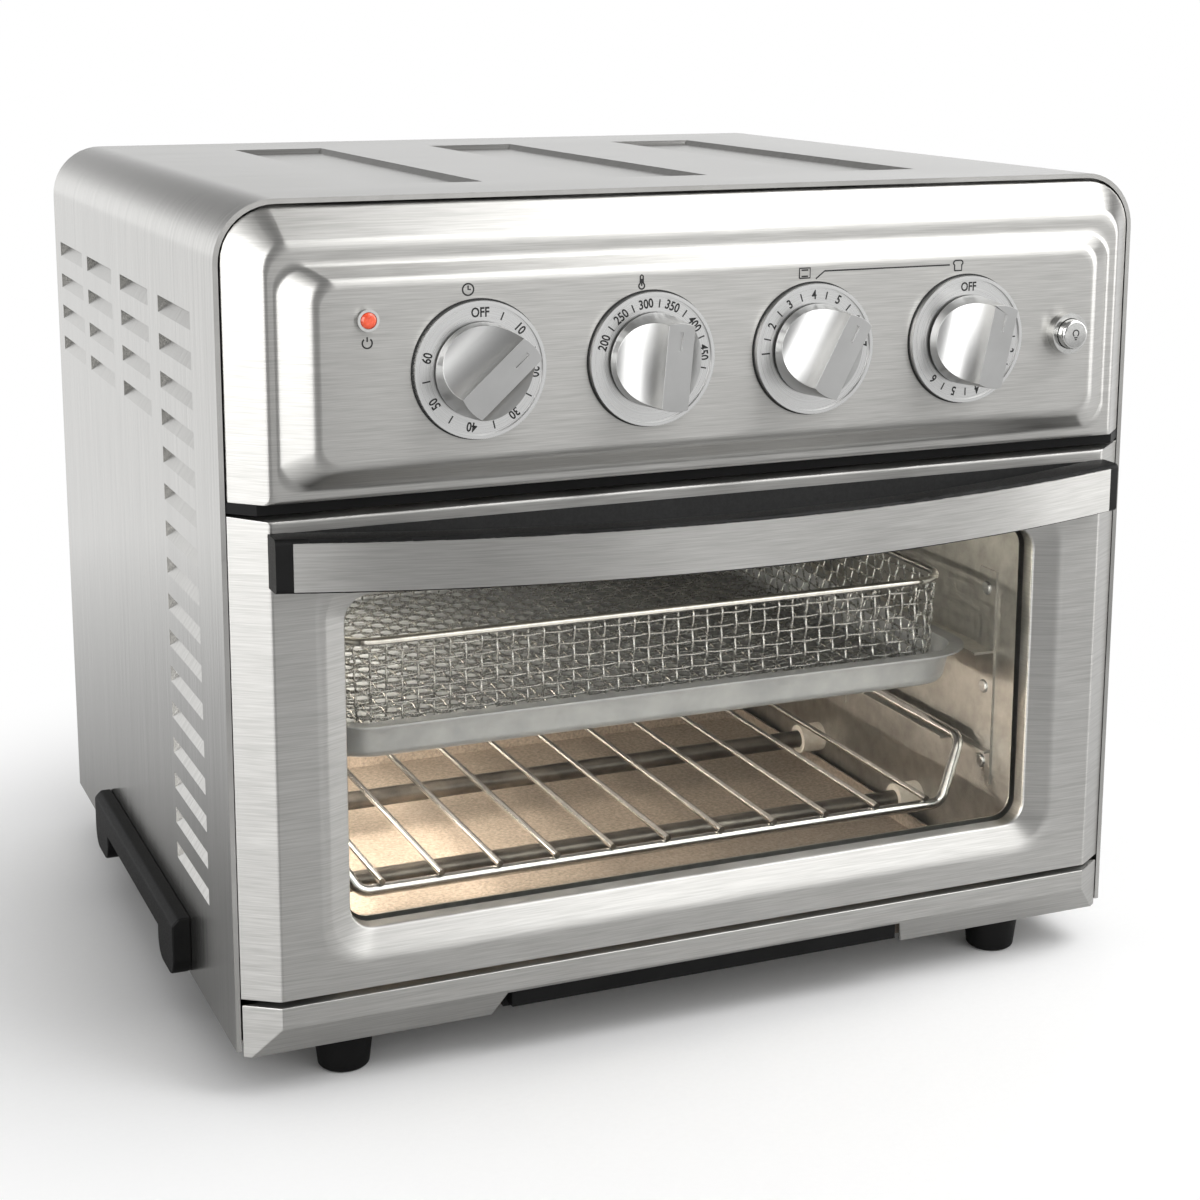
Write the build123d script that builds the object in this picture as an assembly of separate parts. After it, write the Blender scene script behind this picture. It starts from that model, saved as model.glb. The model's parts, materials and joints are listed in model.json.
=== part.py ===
from build123d import *
import math
import os

# A countertop toaster oven with a drop-down door, four dials and an air-fry basket.
# Millimetres. X runs across, Y runs from the handle to the rear, Z up from the table.

# Case: one folded wrap of brushed sheet over a flat base
case_width = 406.0
case_top = 355.0
case_depth = 339.5
case_bottom = 20.5
case_corner = 24.0
sheet = 0.8
hem_fold = 1.2
hem_depth = 8.0
seam = 0.4
plate_gap = 0.2

# Louvres pressed into both sides of the wrap
louver_height = 7.0
louver_press = 4.5
louver_pitch = 15.7
louver_below_top = 46.0
louver_rows = 4
louver_front_rows = 16
louver_length = 58.0
louver_rear_gaps = (14.5, 85.5, 163.5)
louver_front_gap = 241.5

# Three shallow panels pressed into the top
press_width = 44.0
press_pitch = 101.0
press_front = 50.0
press_rear = 54.5
press_depth = 2.0
press_slope = 2.5

# Control fascia: an outer bevel, a ledge, and a raised field
fascia_bottom = 242.0
fascia_top_step = 3.2
fascia_corner = 20.0
fascia_bevel = 12.5
fascia_bevel_width = 13.0
ledge_corner = 10.0
ledge_width = 5.0
ledge_top_width = 7.5
field_rise = 8.0
field_bevel_width = 11.5
field_bevel_top = 6.0
field_bevel_bottom = 7.7
field_foot = 5.0
field_corner = 9.0
field_foot_corner = 11.0
strip_height = 4.2
strip_depth = 9.0

# Dials
dial_count = 4
dial_side = 64.15
dial_radius = 26.4
dial_thickness = 2.2
dial_rim_rise = 0.8
dial_rim_width = 1.4
knob_radius = 18.5
knob_face_radius = 17.0
knob_height = 22.5
knob_bar = 11.0
knob_scoop = 19.0
knob_gap = 0.6
pointer_width = 1.4
pointer_length = 7.0
pointer_depth = 0.8
shaft_radius = 3.0
shaft_in_knob = 15.0
shaft_in_unit = 14.0
running_fit = 0.05
bushing_wall = 2.4
bushing_reach = 2.0
unit_width = 40.0
unit_height = 42.0
unit_depth = 26.0
unit_corner = 3.0
gong_radius = 16.0
gong_depth = 8.0
timer_turn = 48.0
thermostat_turn = 5.0
function_turn = 28.0
toast_turn = 12.0

# Pilot lamp and light button
pilot_side = 20.4
pilot_below = 14.3
pilot_radius = 3.0
pilot_rim = 1.2
pilot_rise = 2.4
pilot_dome = 1.4
pilot_dome_rise = 1.0
button_side = 14.6
button_radius = 6.3
button_gap = 0.3
button_rim = 2.0
button_rim_rise = 4.5
button_rise = 8.5
button_travel = 3.0
button_dome = 1.5
stem_radius = 2.0
stem_length = 14.0
switch_size = 18.0
switch_depth = 22.0
switch_play = 2.0

# Front frame and oven cavity
frame_setback = 10.0
frame_sheet = 1.2
frame_top_lap = 5.0
cavity_side = 36.6
cavity_sill_rise = 9.5
cavity_below_fascia = 6.0
cavity_rear_gap = 39.5

# Door
door_bottom = 42.5
door_gap = 1.2
door_thickness = 9.5
door_bevel_width = 14.0
door_top_roll = 1.6
window_side = 44.1
window_below_top = 34.7
window_above_bottom = 23.0
window_corner = 10.0
dish_width = 11.0
dish_depth = 5.5
dish_corner = 18.0
glass_thickness = 4.0
glass_lap = 8.0
glass_setback = 3.0
plateau_wall = 4.0
liner_window_inset = 1.0
hinge_ahead = 5.2
hinge_rise = 3.5
hinge_inset = 22.6
hinge_pin = 1.75
hinge_arm = 3.1
hinge_arm_width = 3.0
hinge_slot = 1.5
hinge_ear = 1.6
hinge_pin_end = 0.8
hinge_foot_width = 14.0
hinge_foot_height = 12.0
hinge_foot_sheet = 1.5

# Handle: a bowed strip over a moulded core
handle_reach = 54.5
handle_overhang = 0.9
handle_below_top = 5.9
handle_height = 20.9
handle_round = 2.0
handle_end_stand = 11.0
handle_post = 12.0
handle_core_depth = 11.0
strip_end = 6.0
strip_edge = 1.2
strip_sheet = 0.8
strip_gap = 0.1

# Crumb tray with the lower trim as its front
tray_gap = 2.5
tray_bend_drop = 9.0
tray_height = 22.0
tray_bevel_depth = 7.5
tray_sheet = 1.0
tray_floor = 26.0
tray_wall = 8.0
tray_side_gap = 4.0
tray_rear_gap = 8.0
tray_back_rise = 3.0
pull_half_low = 97.0
pull_half_high = 92.0
pull_below_bend = 1.5
grip_lip = 6.7
grip_lip_end = 2.0
grip_lip_reach = 5.5
grip_plate = 2.5
runner_x = 120.0
runner_width = 8.0
runner_gap = 0.3

# Feet and side grips
foot_inset = 48.0
foot_front = 16.0
foot_rear_gap = 34.5
foot_top_radius = 13.0
foot_base_radius = 10.5
foot_chamfer = 1.2
screw_radius = 2.0
screw_head_radius = 4.2
screw_head = 3.0
screw_sink = 8.0
screw_hole_gap = 0.2
grip_front = 77.0
grip_rear = 250.0
grip_top = 47.0
grip_bar = 14.0
grip_leg = 30.0
grip_low = 20.0
grip_reach = 8.0
grip_round = 9.0
grip_chamfer = 3.0

# Heaters
heater_radius = 4.5
heater_gap = 0.3
heater_overhang = 8.0
lower_heater_z = 43.0
lower_heater_rows = (100.0, 200.0)
upper_heater_drop = 14.0
upper_heater_front = 52.0
upper_heater_rear_gap = 52.0
insulator_radius = 7.5
insulator_length = 13.0

# Convection fan in the ceiling
fan_at = 150.0
fan_radius = 56.0
fan_blades = 8
fan_blade_sheet = 1.0
fan_blade_height = 10.0
fan_blade_tilt = 35.0
fan_hub_radius = 9.0
fan_drop = 15.0
fan_shaft_radius = 3.0
fan_shaft_rise = 26.0
fan_hole_gap = 3.0
guard_radius = 76.0
guard_flange = 8.0
guard_depth = 24.0
guard_draft = 8.0
guard_slots = 20
guard_slot_width = 4.0
guard_slot_inner = 20.0
guard_slot_length = 42.0
motor_radius = 28.0
motor_height = 46.0
motor_foot = 40.0
motor_foot_height = 3.0

# Oven lamp behind the left wall
lamp_at = 205.0
lamp_drop = 40.0
lamp_cover_radius = 16.0
lamp_cover_depth = 9.0
lamp_cover_wall = 1.6
lamp_flange = 5.0
lamp_flange_thickness = 1.5
bulb_radius = 8.0
bulb_length = 18.0
holder_radius = 19.0
holder_depth = 30.0
holder_floor = 8.0
holder_base = 3.0
bulb_base_radius = 5.0
bulb_tip_gap = 2.0
bulb_flat = 1.0
bulb_seat = 1.0

# Rack, its guides, pan and basket
guide_sheet = 1.2
guide_strap = 14.0
guide_strap_middle = 178.0
guide_strap_front = 7.0
guide_strap_rear = 10.0
guide_strap_low = 70.0
guide_strap_high = 172.0
guide_front = 35.0
guide_rear_gap = 14.0
guide_ledge = 11.5
guide_ledge_narrow = 4.5
guide_wide_front = 22.0
guide_wide_rear = 32.0
rivet_radius = 1.6
rivet_head = 3.2
rivet_head_rise = 1.2
rivet_round = 1.0
rivet_rows = (80.0, 116.0, 163.0)
rack_side_gap = 8.0
rack_low_inset = 16.0
rack_z = 89.5
rack_drop = 26.5
rack_front = 40.0
rack_rear_gap = 12.0
rack_bend_run = 10.0
rack_wire = 2.5
rack_bend_radius = 8.0
slat_wire = 1.4
slat_count = 11
slat_end = 9.0
rest_gap = 0.3
weld_gap = 0.05
pan_side_gap = 6.0
pan_front = 33.0
pan_rear_gap = 5.0
pan_z = 119.0
pan_rim_z = 136.0
pan_rim_width = 6.0
pan_draft = 3.5
pan_corner = 22.0
pan_round = 5.0
basket_side_gap = 6.5
basket_end_gap = 6.0
basket_top = 166.8
basket_wall = 1.0
basket_draft = 2.0
basket_corner = 18.0
basket_wire = 1.7

# Rear panel, its screws and the cord gland
rear_setback = 4.5
rear_vent_count = 9
rear_vent_pitch = 11.0
rear_vent_length = 60.0
rear_vent_width = 4.0
rear_vent_x = 95.0
rear_vent_z = 285.0
rear_screw_inset = 18.0
rear_screw_margin = 20.0
rear_screw_radius = 1.8
rear_screw_head = 3.6
rear_screw_head_rise = 2.2
rear_screw_length = 7.0
gland_inset = 53.0
gland_z = 70.0
gland_bore = 4.0
gland_neck = 7.0
gland_flange = 10.0
gland_flange_rise = 2.5
gland_neck_length = 6.0

# Places that follow from the sizes above: across, from front to rear, and up
case_half = case_width / 2
wrap_inner_half = case_half - sheet
opening_half = wrap_inner_half - hem_fold - seam
cavity_half = opening_half - cavity_side
window_half = opening_half - window_side
hinge_x = opening_half - hinge_inset
door_face_half = opening_half - door_bevel_width
handle_half = door_face_half + handle_overhang
strip_half = handle_half - strip_end
tray_half = cavity_half - tray_side_gap
rack_half = cavity_half - rack_side_gap
rack_low_half = rack_half - rack_low_inset
slat_span = 2 * (rack_low_half - slat_end)
pan_half = cavity_half - pan_side_gap
basket_half = pan_half - pan_rim_width - basket_side_gap
foot_x = case_half - foot_inset
rear_screw_x = case_half - rear_screw_inset
gland_x = case_half - gland_inset

front_edge = handle_reach - (case_depth + handle_reach) / 2
press_length = case_depth - press_front - press_rear
foot_rear = case_depth - foot_rear_gap
cavity_back_at = case_depth - cavity_rear_gap
tray_length = cavity_back_at - tray_rear_gap
rack_rear = cavity_back_at - rack_rear_gap
pan_rear = cavity_back_at - pan_rear_gap
basket_front = pan_front + pan_rim_width + basket_end_gap
basket_rear = pan_rear - pan_rim_width - basket_end_gap
guide_rear = cavity_back_at - guide_rear_gap
guide_wide_from = rack_front + guide_wide_front
guide_wide_to = rack_rear - guide_wide_rear
guide_strap_rows = (guide_front + guide_strap_front, guide_strap_middle, guide_rear - guide_strap_rear)
upper_heater_rows = (upper_heater_front, cavity_back_at - upper_heater_rear_gap)

louver_top = case_top - louver_below_top
rear_screw_low = case_bottom + rear_screw_margin
rear_screw_high = case_top - rear_screw_margin
rear_screw_rows = (rear_screw_low, (rear_screw_low + rear_screw_high) / 2, rear_screw_high)
cavity_sill = door_bottom + cavity_sill_rise
cavity_ceiling_z = fascia_bottom - cavity_below_fascia
upper_heater_z = cavity_ceiling_z - upper_heater_drop
fan_z = cavity_ceiling_z - fan_drop
fan_shaft_top = cavity_ceiling_z + fan_shaft_rise
lamp_z = cavity_ceiling_z - lamp_drop
door_top = fascia_bottom - strip_height - door_gap
window_low = door_bottom + window_above_bottom
window_high = door_top - window_below_top
hinge_z = door_bottom + hinge_rise
handle_high = door_top - handle_below_top
handle_low = handle_high - handle_height
tray_top = door_bottom - tray_gap
tray_bend = tray_top - tray_bend_drop
tray_low = tray_top - tray_height
tray_back_low = tray_low + tray_back_rise
pull_top = tray_bend - pull_below_bend


def behind(distance):
    """Y of a plane this far behind the wrap's front edge; less than zero is in front of it."""
    return front_edge + distance


def outline(half, low, high, low_round, high_round):
    """Face across the oven from low to high, with its lower and upper corners rounded."""
    face = Pos(0, (low + high) / 2) * Rectangle(2 * half, high - low)
    if high_round > 0:
        face = fillet(face.vertices().group_by(Axis.Y)[-1], high_round)
    if low_round > 0:
        face = fillet(face.vertices().group_by(Axis.Y)[0], low_round)
    return face


def facing(face, y):
    """Stands a face up across the oven at y."""
    return Plane.XZ.offset(-y) * face


def slab(face, y_front, y_back):
    """A face across the oven, carried from y_front to y_back."""
    return extrude(facing(face, y_back), y_back - y_front)


def side_bar(face, x_low, x_high):
    """A face in the side view, drawn as (y, z), carried from x_low to x_high."""
    return extrude(Plane.YZ.offset(x_low) * face, x_high - x_low)


def level(face, z_low, z_high):
    """A face in the plan view, carried from z_low to z_high."""
    return extrude(Plane.XY.offset(z_low) * face, z_high - z_low)


def bevel(face_back, y_back, face_front, y_front):
    """Straight bevel between two faces across the oven."""
    return loft([facing(face_back, y_back), facing(face_front, y_front)], ruled=True)


on_base = (Align.CENTER, Align.CENTER, Align.MIN)
from_top = (Align.CENTER, Align.CENTER, Align.MAX)


def disc(x, z, radius):
    return Pos(x, z) * Circle(radius)


def both_sides(shape):
    """A shape and its mirror image across the oven's middle, as two solids."""
    return Compound(children=[*shape.solids(), *mirror(shape, about=Plane.YZ).solids()])


def group(shapes):
    """Separate solids kept together in one node."""
    return Compound(children=[solid for shape in shapes for solid in shape.solids()])


# Wrap: folded sheet, hemmed front edge, pressed top, louvred sides
def louver_places():
    for gap in louver_rear_gaps:
        for row in range(louver_rows):
            yield case_depth - gap, louver_top - row * louver_pitch
    for row in range(louver_front_rows):
        yield case_depth - louver_front_gap, louver_top - row * louver_pitch


def louver(rear, top, grow):
    """The pressed wedge of one louvre on the left side, deepest at its top, grown by a wall."""
    reach = grow * math.hypot(louver_press, louver_height) / louver_height
    slope = louver_height / louver_press
    outside = 0 if grow else sheet
    wedge = Polyline(
        (-case_half - outside, top - louver_height - (reach + outside) * slope),
        (-case_half + louver_press + reach, top),
        (-case_half - outside, top),
        close=True,
    )
    return slab(make_face(wedge), behind(rear - louver_length - grow), behind(rear + grow))


def pressed_panel(x, grow):
    """A shallow tapered press in the top, grown by a wall."""
    centre = Pos(x, behind(press_front + press_length / 2))
    mouth = Rectangle(press_width + 2 * grow, press_length + 2 * grow)
    floor_width = press_width - 2 * press_slope + 2 * grow
    floor = Rectangle(floor_width, press_length - 2 * press_slope + 2 * grow)
    upper = Plane.XY.offset(case_top) * centre * mouth
    lower = Plane.XY.offset(case_top - press_depth - grow) * centre * floor
    return loft([upper, lower], ruled=True)


def make_outer_wrap():
    front, rear = front_edge, behind(case_depth)
    outer = outline(case_half, case_bottom, case_top, 0, case_corner)
    inner = outline(wrap_inner_half, case_bottom - sheet, case_top - sheet, 0, case_corner - sheet)
    fold = sheet + hem_fold
    hem = outline(case_half - fold, case_bottom - sheet, case_top - fold, 0, case_corner - fold)
    wrap = slab(outer, front, rear) - slab(hem, front, rear)
    wrap -= slab(inner, behind(hem_depth), rear)
    presses = [-press_pitch, 0, press_pitch]
    wrap += [pressed_panel(x, sheet) for x in presses]
    wrap -= [pressed_panel(x, 0) for x in presses]
    walls = [louver(rear_end, top, sheet) for rear_end, top in louver_places()]
    voids = [louver(rear_end, top, 0) for rear_end, top in louver_places()]
    wrap += walls + [mirror(wall, about=Plane.YZ) for wall in walls]
    wrap -= voids + [mirror(void, about=Plane.YZ) for void in voids]
    return wrap


def make_rear_panel():
    y_back = behind(case_depth - rear_setback)
    half = wrap_inner_half - plate_gap
    base_top = case_bottom + sheet
    corner = case_corner - sheet - plate_gap
    plate = slab(outline(half, base_top, case_top - sheet - plate_gap, 0, corner), y_back - sheet, y_back)
    vents = []
    for side in (-1, 1):
        for row in range(rear_vent_count):
            z = rear_vent_z - row * rear_vent_pitch
            vents.append(slab(Pos(side * rear_vent_x, z) * SlotOverall(rear_vent_length, rear_vent_width),
                              y_back - 2 * sheet, y_back + sheet))
    holes = [slab(disc(side * rear_screw_x, z, rear_screw_radius + screw_hole_gap), y_back - 2 * sheet,
                  y_back + sheet) for side in (-1, 1) for z in rear_screw_rows]
    gland = slab(disc(gland_x, gland_z, gland_neck + plate_gap), y_back - 2 * sheet, y_back + sheet)
    return plate - vents - holes - gland


def make_rear_screws():
    y_back = behind(case_depth - rear_setback)
    screws = []
    for side in (-1, 1):
        for z in rear_screw_rows:
            x = side * rear_screw_x
            head = slab(disc(x, z, rear_screw_head), y_back, y_back + rear_screw_head_rise)
            shank = slab(disc(x, z, rear_screw_radius), y_back - rear_screw_length, y_back)
            screws.append(head + shank)
    return group(screws)


def make_cord_gland():
    y_back = behind(case_depth - rear_setback)
    flange = slab(disc(gland_x, gland_z, gland_flange), y_back, y_back + gland_flange_rise)
    neck = slab(disc(gland_x, gland_z, gland_neck), y_back - gland_neck_length, y_back)
    bore = slab(disc(gland_x, gland_z, gland_bore), y_back - gland_neck_length, y_back + gland_flange_rise)
    return flange + neck - bore


def foot_places():
    return [(side * foot_x, behind(at)) for side in (-1, 1) for at in (foot_front, foot_rear)]


def make_base_plate():
    y_back = behind(case_depth - rear_setback) - sheet
    half = wrap_inner_half - plate_gap
    length = y_back - behind(hem_depth + plate_gap)
    plate = level(Pos(0, y_back - length / 2) * Rectangle(2 * half, length), case_bottom, case_bottom + sheet)
    rail_top = tray_floor - runner_gap
    rail_front, rail_rear = behind(frame_setback + frame_sheet), behind(tray_length)
    for side in (-1, 1):
        rail = Pos(side * runner_x, (rail_front + rail_rear) / 2)
        plate += level(rail * Rectangle(runner_width, rail_rear - rail_front), case_bottom + sheet, rail_top)
    holes = [level(Pos(x, y) * Circle(screw_radius + screw_hole_gap), case_bottom - sheet,
                   case_bottom + 2 * sheet) for x, y in foot_places()]
    return plate - holes


def make_feet():
    feet = []
    for x, y in foot_places():
        body = Cone(foot_base_radius, foot_top_radius, case_bottom, align=on_base)
        body = chamfer(body.edges().sort_by(Axis.Z)[0], foot_chamfer)
        body -= level(Circle(screw_radius + screw_hole_gap), 0, case_bottom)
        body -= level(Circle(screw_head_radius + screw_hole_gap), 0, screw_sink)
        feet.append(Pos(x, y, 0) * body)
    return group(feet)


def make_foot_screws():
    tip = case_bottom + 3 * sheet
    screw = level(Circle(screw_head_radius), screw_sink - screw_head, screw_sink)
    screw += level(Circle(screw_radius), screw_sink, tip)
    return group([Pos(x, y, 0) * screw for x, y in foot_places()])


def make_side_grip():
    middle = behind((grip_front + grip_rear) / 2)
    span = grip_rear - grip_front
    whole = Pos(middle, (grip_low + grip_top) / 2) * Rectangle(span, grip_top - grip_low)
    gap_top = grip_top - grip_bar
    gap = Pos(middle, (grip_low + gap_top) / 2) * Rectangle(span - 2 * grip_leg, gap_top - grip_low)
    face = whole - gap
    face = fillet(face.vertices().group_by(Axis.Y)[0], grip_round)
    grip = side_bar(face, case_half, case_half + grip_reach)
    outer_top = grip.edges().filter_by(Axis.Y).group_by(Axis.Z)[-1].sort_by(Axis.X)[-1]
    return chamfer(outer_top, grip_chamfer)


# Control fascia: two nested bevels in thin sheet
field_y = behind(-fascia_bevel - field_rise)
ledge_half = opening_half - fascia_bevel_width
field_base_half = ledge_half - ledge_width
field_half = field_base_half - field_bevel_width
fascia_top = case_top - fascia_top_step
ledge_top = fascia_top - fascia_bevel_width
field_base_top = ledge_top - ledge_top_width
field_base_low = fascia_bottom + field_foot
field_low = field_base_low + field_bevel_bottom
field_top = field_base_top - field_bevel_top
dial_height = (field_low + field_top) / 2
dial_pitch = 2 * (field_half - dial_side) / (dial_count - 1)
dial_xs = [dial_side - field_half + index * dial_pitch for index in range(dial_count)]
pilot_x = pilot_side - field_half
pilot_z = field_top - pilot_below
button_x = field_half - button_side


def fascia_form(inset):
    """Solid form of the fascia, drawn in by a wall all round and towards the back."""
    low = fascia_bottom + inset
    rear = behind(frame_setback)
    y_ledge = behind(-fascia_bevel) + inset
    y_field = field_y + inset
    base = outline(opening_half - inset, low, fascia_top - inset, 0, fascia_corner - inset)
    ledge = outline(ledge_half - inset, low, ledge_top - inset, 0, ledge_corner - inset)
    foot = outline(field_base_half - inset, field_base_low + inset, field_base_top - inset,
                   field_foot_corner, field_foot_corner)
    field = outline(field_half - inset, field_low + inset, field_top - inset, field_corner, field_corner)
    form = slab(base, behind(0), rear)
    form += bevel(base, behind(0), ledge, y_ledge)
    form += bevel(foot, y_ledge, field, y_field)
    return form


def make_control_fascia():
    fascia = fascia_form(0) - fascia_form(sheet)
    holes = [disc(x, dial_height, shaft_radius + bushing_wall + plate_gap) for x in dial_xs]
    holes.append(disc(button_x, dial_height, button_radius + button_gap))
    holes.append(disc(pilot_x, pilot_z, pilot_radius + plate_gap))
    return fascia - [slab(hole, field_y - sheet, field_y + 2 * sheet) for hole in holes]


def make_shadow_strip():
    """Black moulding under the fascia that shades the gap above the door."""
    low, high = fascia_bottom - strip_height, fascia_bottom
    inset = fascia_bevel_width * strip_depth / fascia_bevel
    base = outline(opening_half, low, high, 0, 0)
    nose = outline(opening_half - inset, low, high, 0, 0)
    return bevel(base, behind(0), nose, behind(-strip_depth)) + slab(base, behind(0), behind(frame_setback))


def make_dial_plates():
    plates = []
    bore = shaft_radius + bushing_wall + plate_gap
    for x in dial_xs:
        plate = slab(disc(x, dial_height, dial_radius), field_y - dial_thickness, field_y)
        rim = disc(x, dial_height, dial_radius) - disc(x, dial_height, dial_radius - dial_rim_width)
        plate += slab(rim, field_y - dial_thickness - dial_rim_rise, field_y - dial_thickness)
        plates.append(plate - slab(disc(x, dial_height, bore), field_y - dial_thickness, field_y))
    return group(plates)


knob_back = field_y - dial_thickness - dial_rim_rise - knob_gap


def make_knob(x, turn):
    """Round base with a grip bar between two long scoops, its pointer turned clockwise from the top."""
    knob = Cone(knob_radius, knob_face_radius, knob_height, align=on_base)
    for side in (-1, 1):
        scoop = Cylinder(knob_scoop, 4 * knob_radius, rotation=(90, 0, 0))
        knob -= Pos(side * (knob_bar / 2 + knob_scoop), 0, knob_height) * scoop
    pointer = Box(pointer_width, pointer_length, 2 * pointer_depth)
    knob -= Pos(0, knob_face_radius - pointer_length, knob_height) * pointer
    knob -= Cylinder(shaft_radius + running_fit, shaft_in_knob, align=on_base)
    place = Plane(origin=(x, knob_back, dial_height), x_dir=(1, 0, 0), z_dir=(0, -1, 0))
    return place * Rot(Z=-turn) * knob


def make_shaft(x):
    return slab(disc(x, dial_height, shaft_radius), knob_back - shaft_in_knob,
                field_y + sheet + shaft_in_unit)


def make_unit(x, gong):
    """Control unit behind the fascia, with the bushing its shaft turns in; a timer carries a gong."""
    front = field_y + sheet
    case = slab(Pos(x, dial_height) * Rectangle(unit_width, unit_height), front, front + unit_depth)
    case = fillet(case.edges().filter_by(Axis.Y), unit_corner)
    case += slab(disc(x, dial_height, shaft_radius + bushing_wall), front - bushing_reach, front)
    if gong:
        case += slab(disc(x, dial_height, gong_radius), front + unit_depth, front + unit_depth + gong_depth)
    return case - slab(disc(x, dial_height, shaft_radius + running_fit), front - bushing_reach,
                       front + shaft_in_unit + running_fit)


def make_bezels():
    """Bright rings round the pilot lamp and the light button."""
    pilot = disc(pilot_x, pilot_z, pilot_radius + pilot_rim)
    pilot -= disc(pilot_x, pilot_z, pilot_radius + plate_gap)
    bore = button_radius + button_gap
    button = disc(button_x, dial_height, bore + button_rim) - disc(button_x, dial_height, bore)
    rings = [slab(pilot, field_y - pilot_rise, field_y), slab(button, field_y - button_rim_rise, field_y)]
    return group(rings)


def make_pilot_lens():
    front = field_y - pilot_rise - pilot_dome_rise
    lens = slab(disc(pilot_x, pilot_z, pilot_radius), front, field_y + 2 * sheet)
    lens = fillet(lens.edges().sort_by(Axis.Y)[0], pilot_dome)
    flange = disc(pilot_x, pilot_z, pilot_radius + pilot_rim)
    return lens + slab(flange, field_y + sheet, field_y + 3 * sheet)


def make_light_button():
    front = field_y - button_rise
    cap = slab(disc(button_x, dial_height, button_radius), front, field_y)
    cap = fillet(cap.edges().sort_by(Axis.Y)[0], button_dome)
    return cap + slab(disc(button_x, dial_height, stem_radius), field_y, field_y + stem_length)


def make_light_switch():
    front = field_y + sheet
    case = slab(Pos(button_x, dial_height) * Rectangle(switch_size, switch_size), front, front + switch_depth)
    room = button_travel + switch_play
    well = slab(disc(button_x, dial_height, button_radius + button_gap), front, front + room)
    stem_end = field_y + stem_length + room
    return case - well - slab(disc(button_x, dial_height, stem_radius + running_fit), front, stem_end)


# Front frame and cavity
frame_front = behind(frame_setback)
frame_back = frame_front + frame_sheet
cavity_rear = behind(cavity_back_at)
floor_top = case_bottom + sheet


def make_front_frame():
    ring = outline(wrap_inner_half - plate_gap, tray_top, fascia_bottom + frame_top_lap, 0, 0)
    mouth = outline(cavity_half, cavity_sill, cavity_ceiling_z, 0, 0)
    return slab(ring - mouth, frame_front, frame_back)


def heater_places():
    lower = [(behind(at), lower_heater_z) for at in lower_heater_rows]
    return lower, [(behind(at), upper_heater_z) for at in upper_heater_rows]


def make_cavity_wall(side):
    lower, upper = heater_places()
    length = cavity_rear + sheet - frame_back
    face = Pos(frame_back + length / 2, (floor_top + cavity_ceiling_z) / 2)
    face *= Rectangle(length, cavity_ceiling_z - floor_top)
    face -= [Pos(y, z) * Circle(heater_radius + heater_gap) for y, z in lower + upper]
    rivet_places = [(behind(at), z) for at in guide_strap_rows for z in rivet_rows]
    face -= [Pos(y, z) * Circle(rivet_radius + plate_gap) for y, z in rivet_places]
    if side < 0:
        face -= Pos(behind(lamp_at), lamp_z) * Circle(lamp_cover_radius)
        return side_bar(face, -cavity_half - sheet, -cavity_half)
    return side_bar(face, cavity_half, cavity_half + sheet)


def make_cavity_ceiling():
    length = cavity_rear + sheet - frame_back
    plate = Pos(0, frame_back + length / 2) * Rectangle(2 * (cavity_half + sheet), length)
    plate -= Pos(0, behind(fan_at)) * Circle(fan_shaft_radius + fan_hole_gap)
    return level(plate, cavity_ceiling_z, cavity_ceiling_z + sheet)


def make_cavity_back():
    return slab(outline(cavity_half, floor_top, cavity_ceiling_z, 0, 0), cavity_rear, cavity_rear + sheet)


def make_heaters(places):
    reach = cavity_half + heater_overhang
    return group([side_bar(Pos(y, z) * Circle(heater_radius), -reach, reach) for y, z in places])


def make_insulators():
    lower, upper = heater_places()
    rings = []
    for y, z in lower + upper:
        ring = Pos(y, z) * (Circle(insulator_radius) - Circle(heater_radius + running_fit))
        rings.append(side_bar(ring, cavity_half - insulator_length, cavity_half))
        rings.append(side_bar(ring, -cavity_half, -cavity_half + insulator_length))
    return group(rings)


def make_fan_guard():
    """Shallow dish under the fan, with radial slots in its floor."""
    floor_z = cavity_ceiling_z - guard_depth
    floor_radius = guard_radius - guard_draft
    inner = guard_radius - sheet
    flange_radius = guard_radius + guard_flange
    profile = Polyline(
        (0, floor_z), (floor_radius, floor_z), (guard_radius, cavity_ceiling_z - sheet),
        (flange_radius, cavity_ceiling_z - sheet), (flange_radius, cavity_ceiling_z),
        (inner, cavity_ceiling_z), (floor_radius - sheet, floor_z + sheet), (0, floor_z + sheet), close=True)
    dish = revolve(make_face(Plane.XZ * profile), Axis.Z)
    slot = Box(guard_slot_length, guard_slot_width, 4 * sheet)
    middle = guard_slot_inner + guard_slot_length / 2
    dish -= [Pos(0, 0, floor_z) * Rot(Z=360 * turn / guard_slots) * Pos(middle, 0, 0) * slot
             for turn in range(guard_slots)]
    return Pos(0, behind(fan_at), 0) * dish


def make_fan_rotor():
    """Hub with tilted blades on the motor's shaft."""
    hub = level(Circle(fan_hub_radius), fan_z - fan_blade_height / 2, fan_z + fan_blade_height / 2)
    span = fan_radius - fan_hub_radius / 2
    blade = Box(span, fan_blade_sheet, fan_blade_height)
    tilted = Pos(fan_hub_radius / 2 + span / 2, 0, fan_z) * Rot(X=fan_blade_tilt) * blade
    hub += [Rot(Z=360 * turn / fan_blades) * tilted for turn in range(fan_blades)]
    hub += level(Circle(fan_shaft_radius), fan_z, fan_shaft_top)
    return Pos(0, behind(fan_at), 0) * hub


def make_fan_motor():
    seat = cavity_ceiling_z + sheet
    motor = level(Circle(motor_foot), seat, seat + motor_foot_height)
    motor += level(Circle(motor_radius), seat + motor_foot_height, seat + motor_height)
    motor -= level(Circle(fan_shaft_radius + running_fit), seat, fan_shaft_top + running_fit)
    return Pos(0, behind(fan_at), 0) * motor


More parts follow.
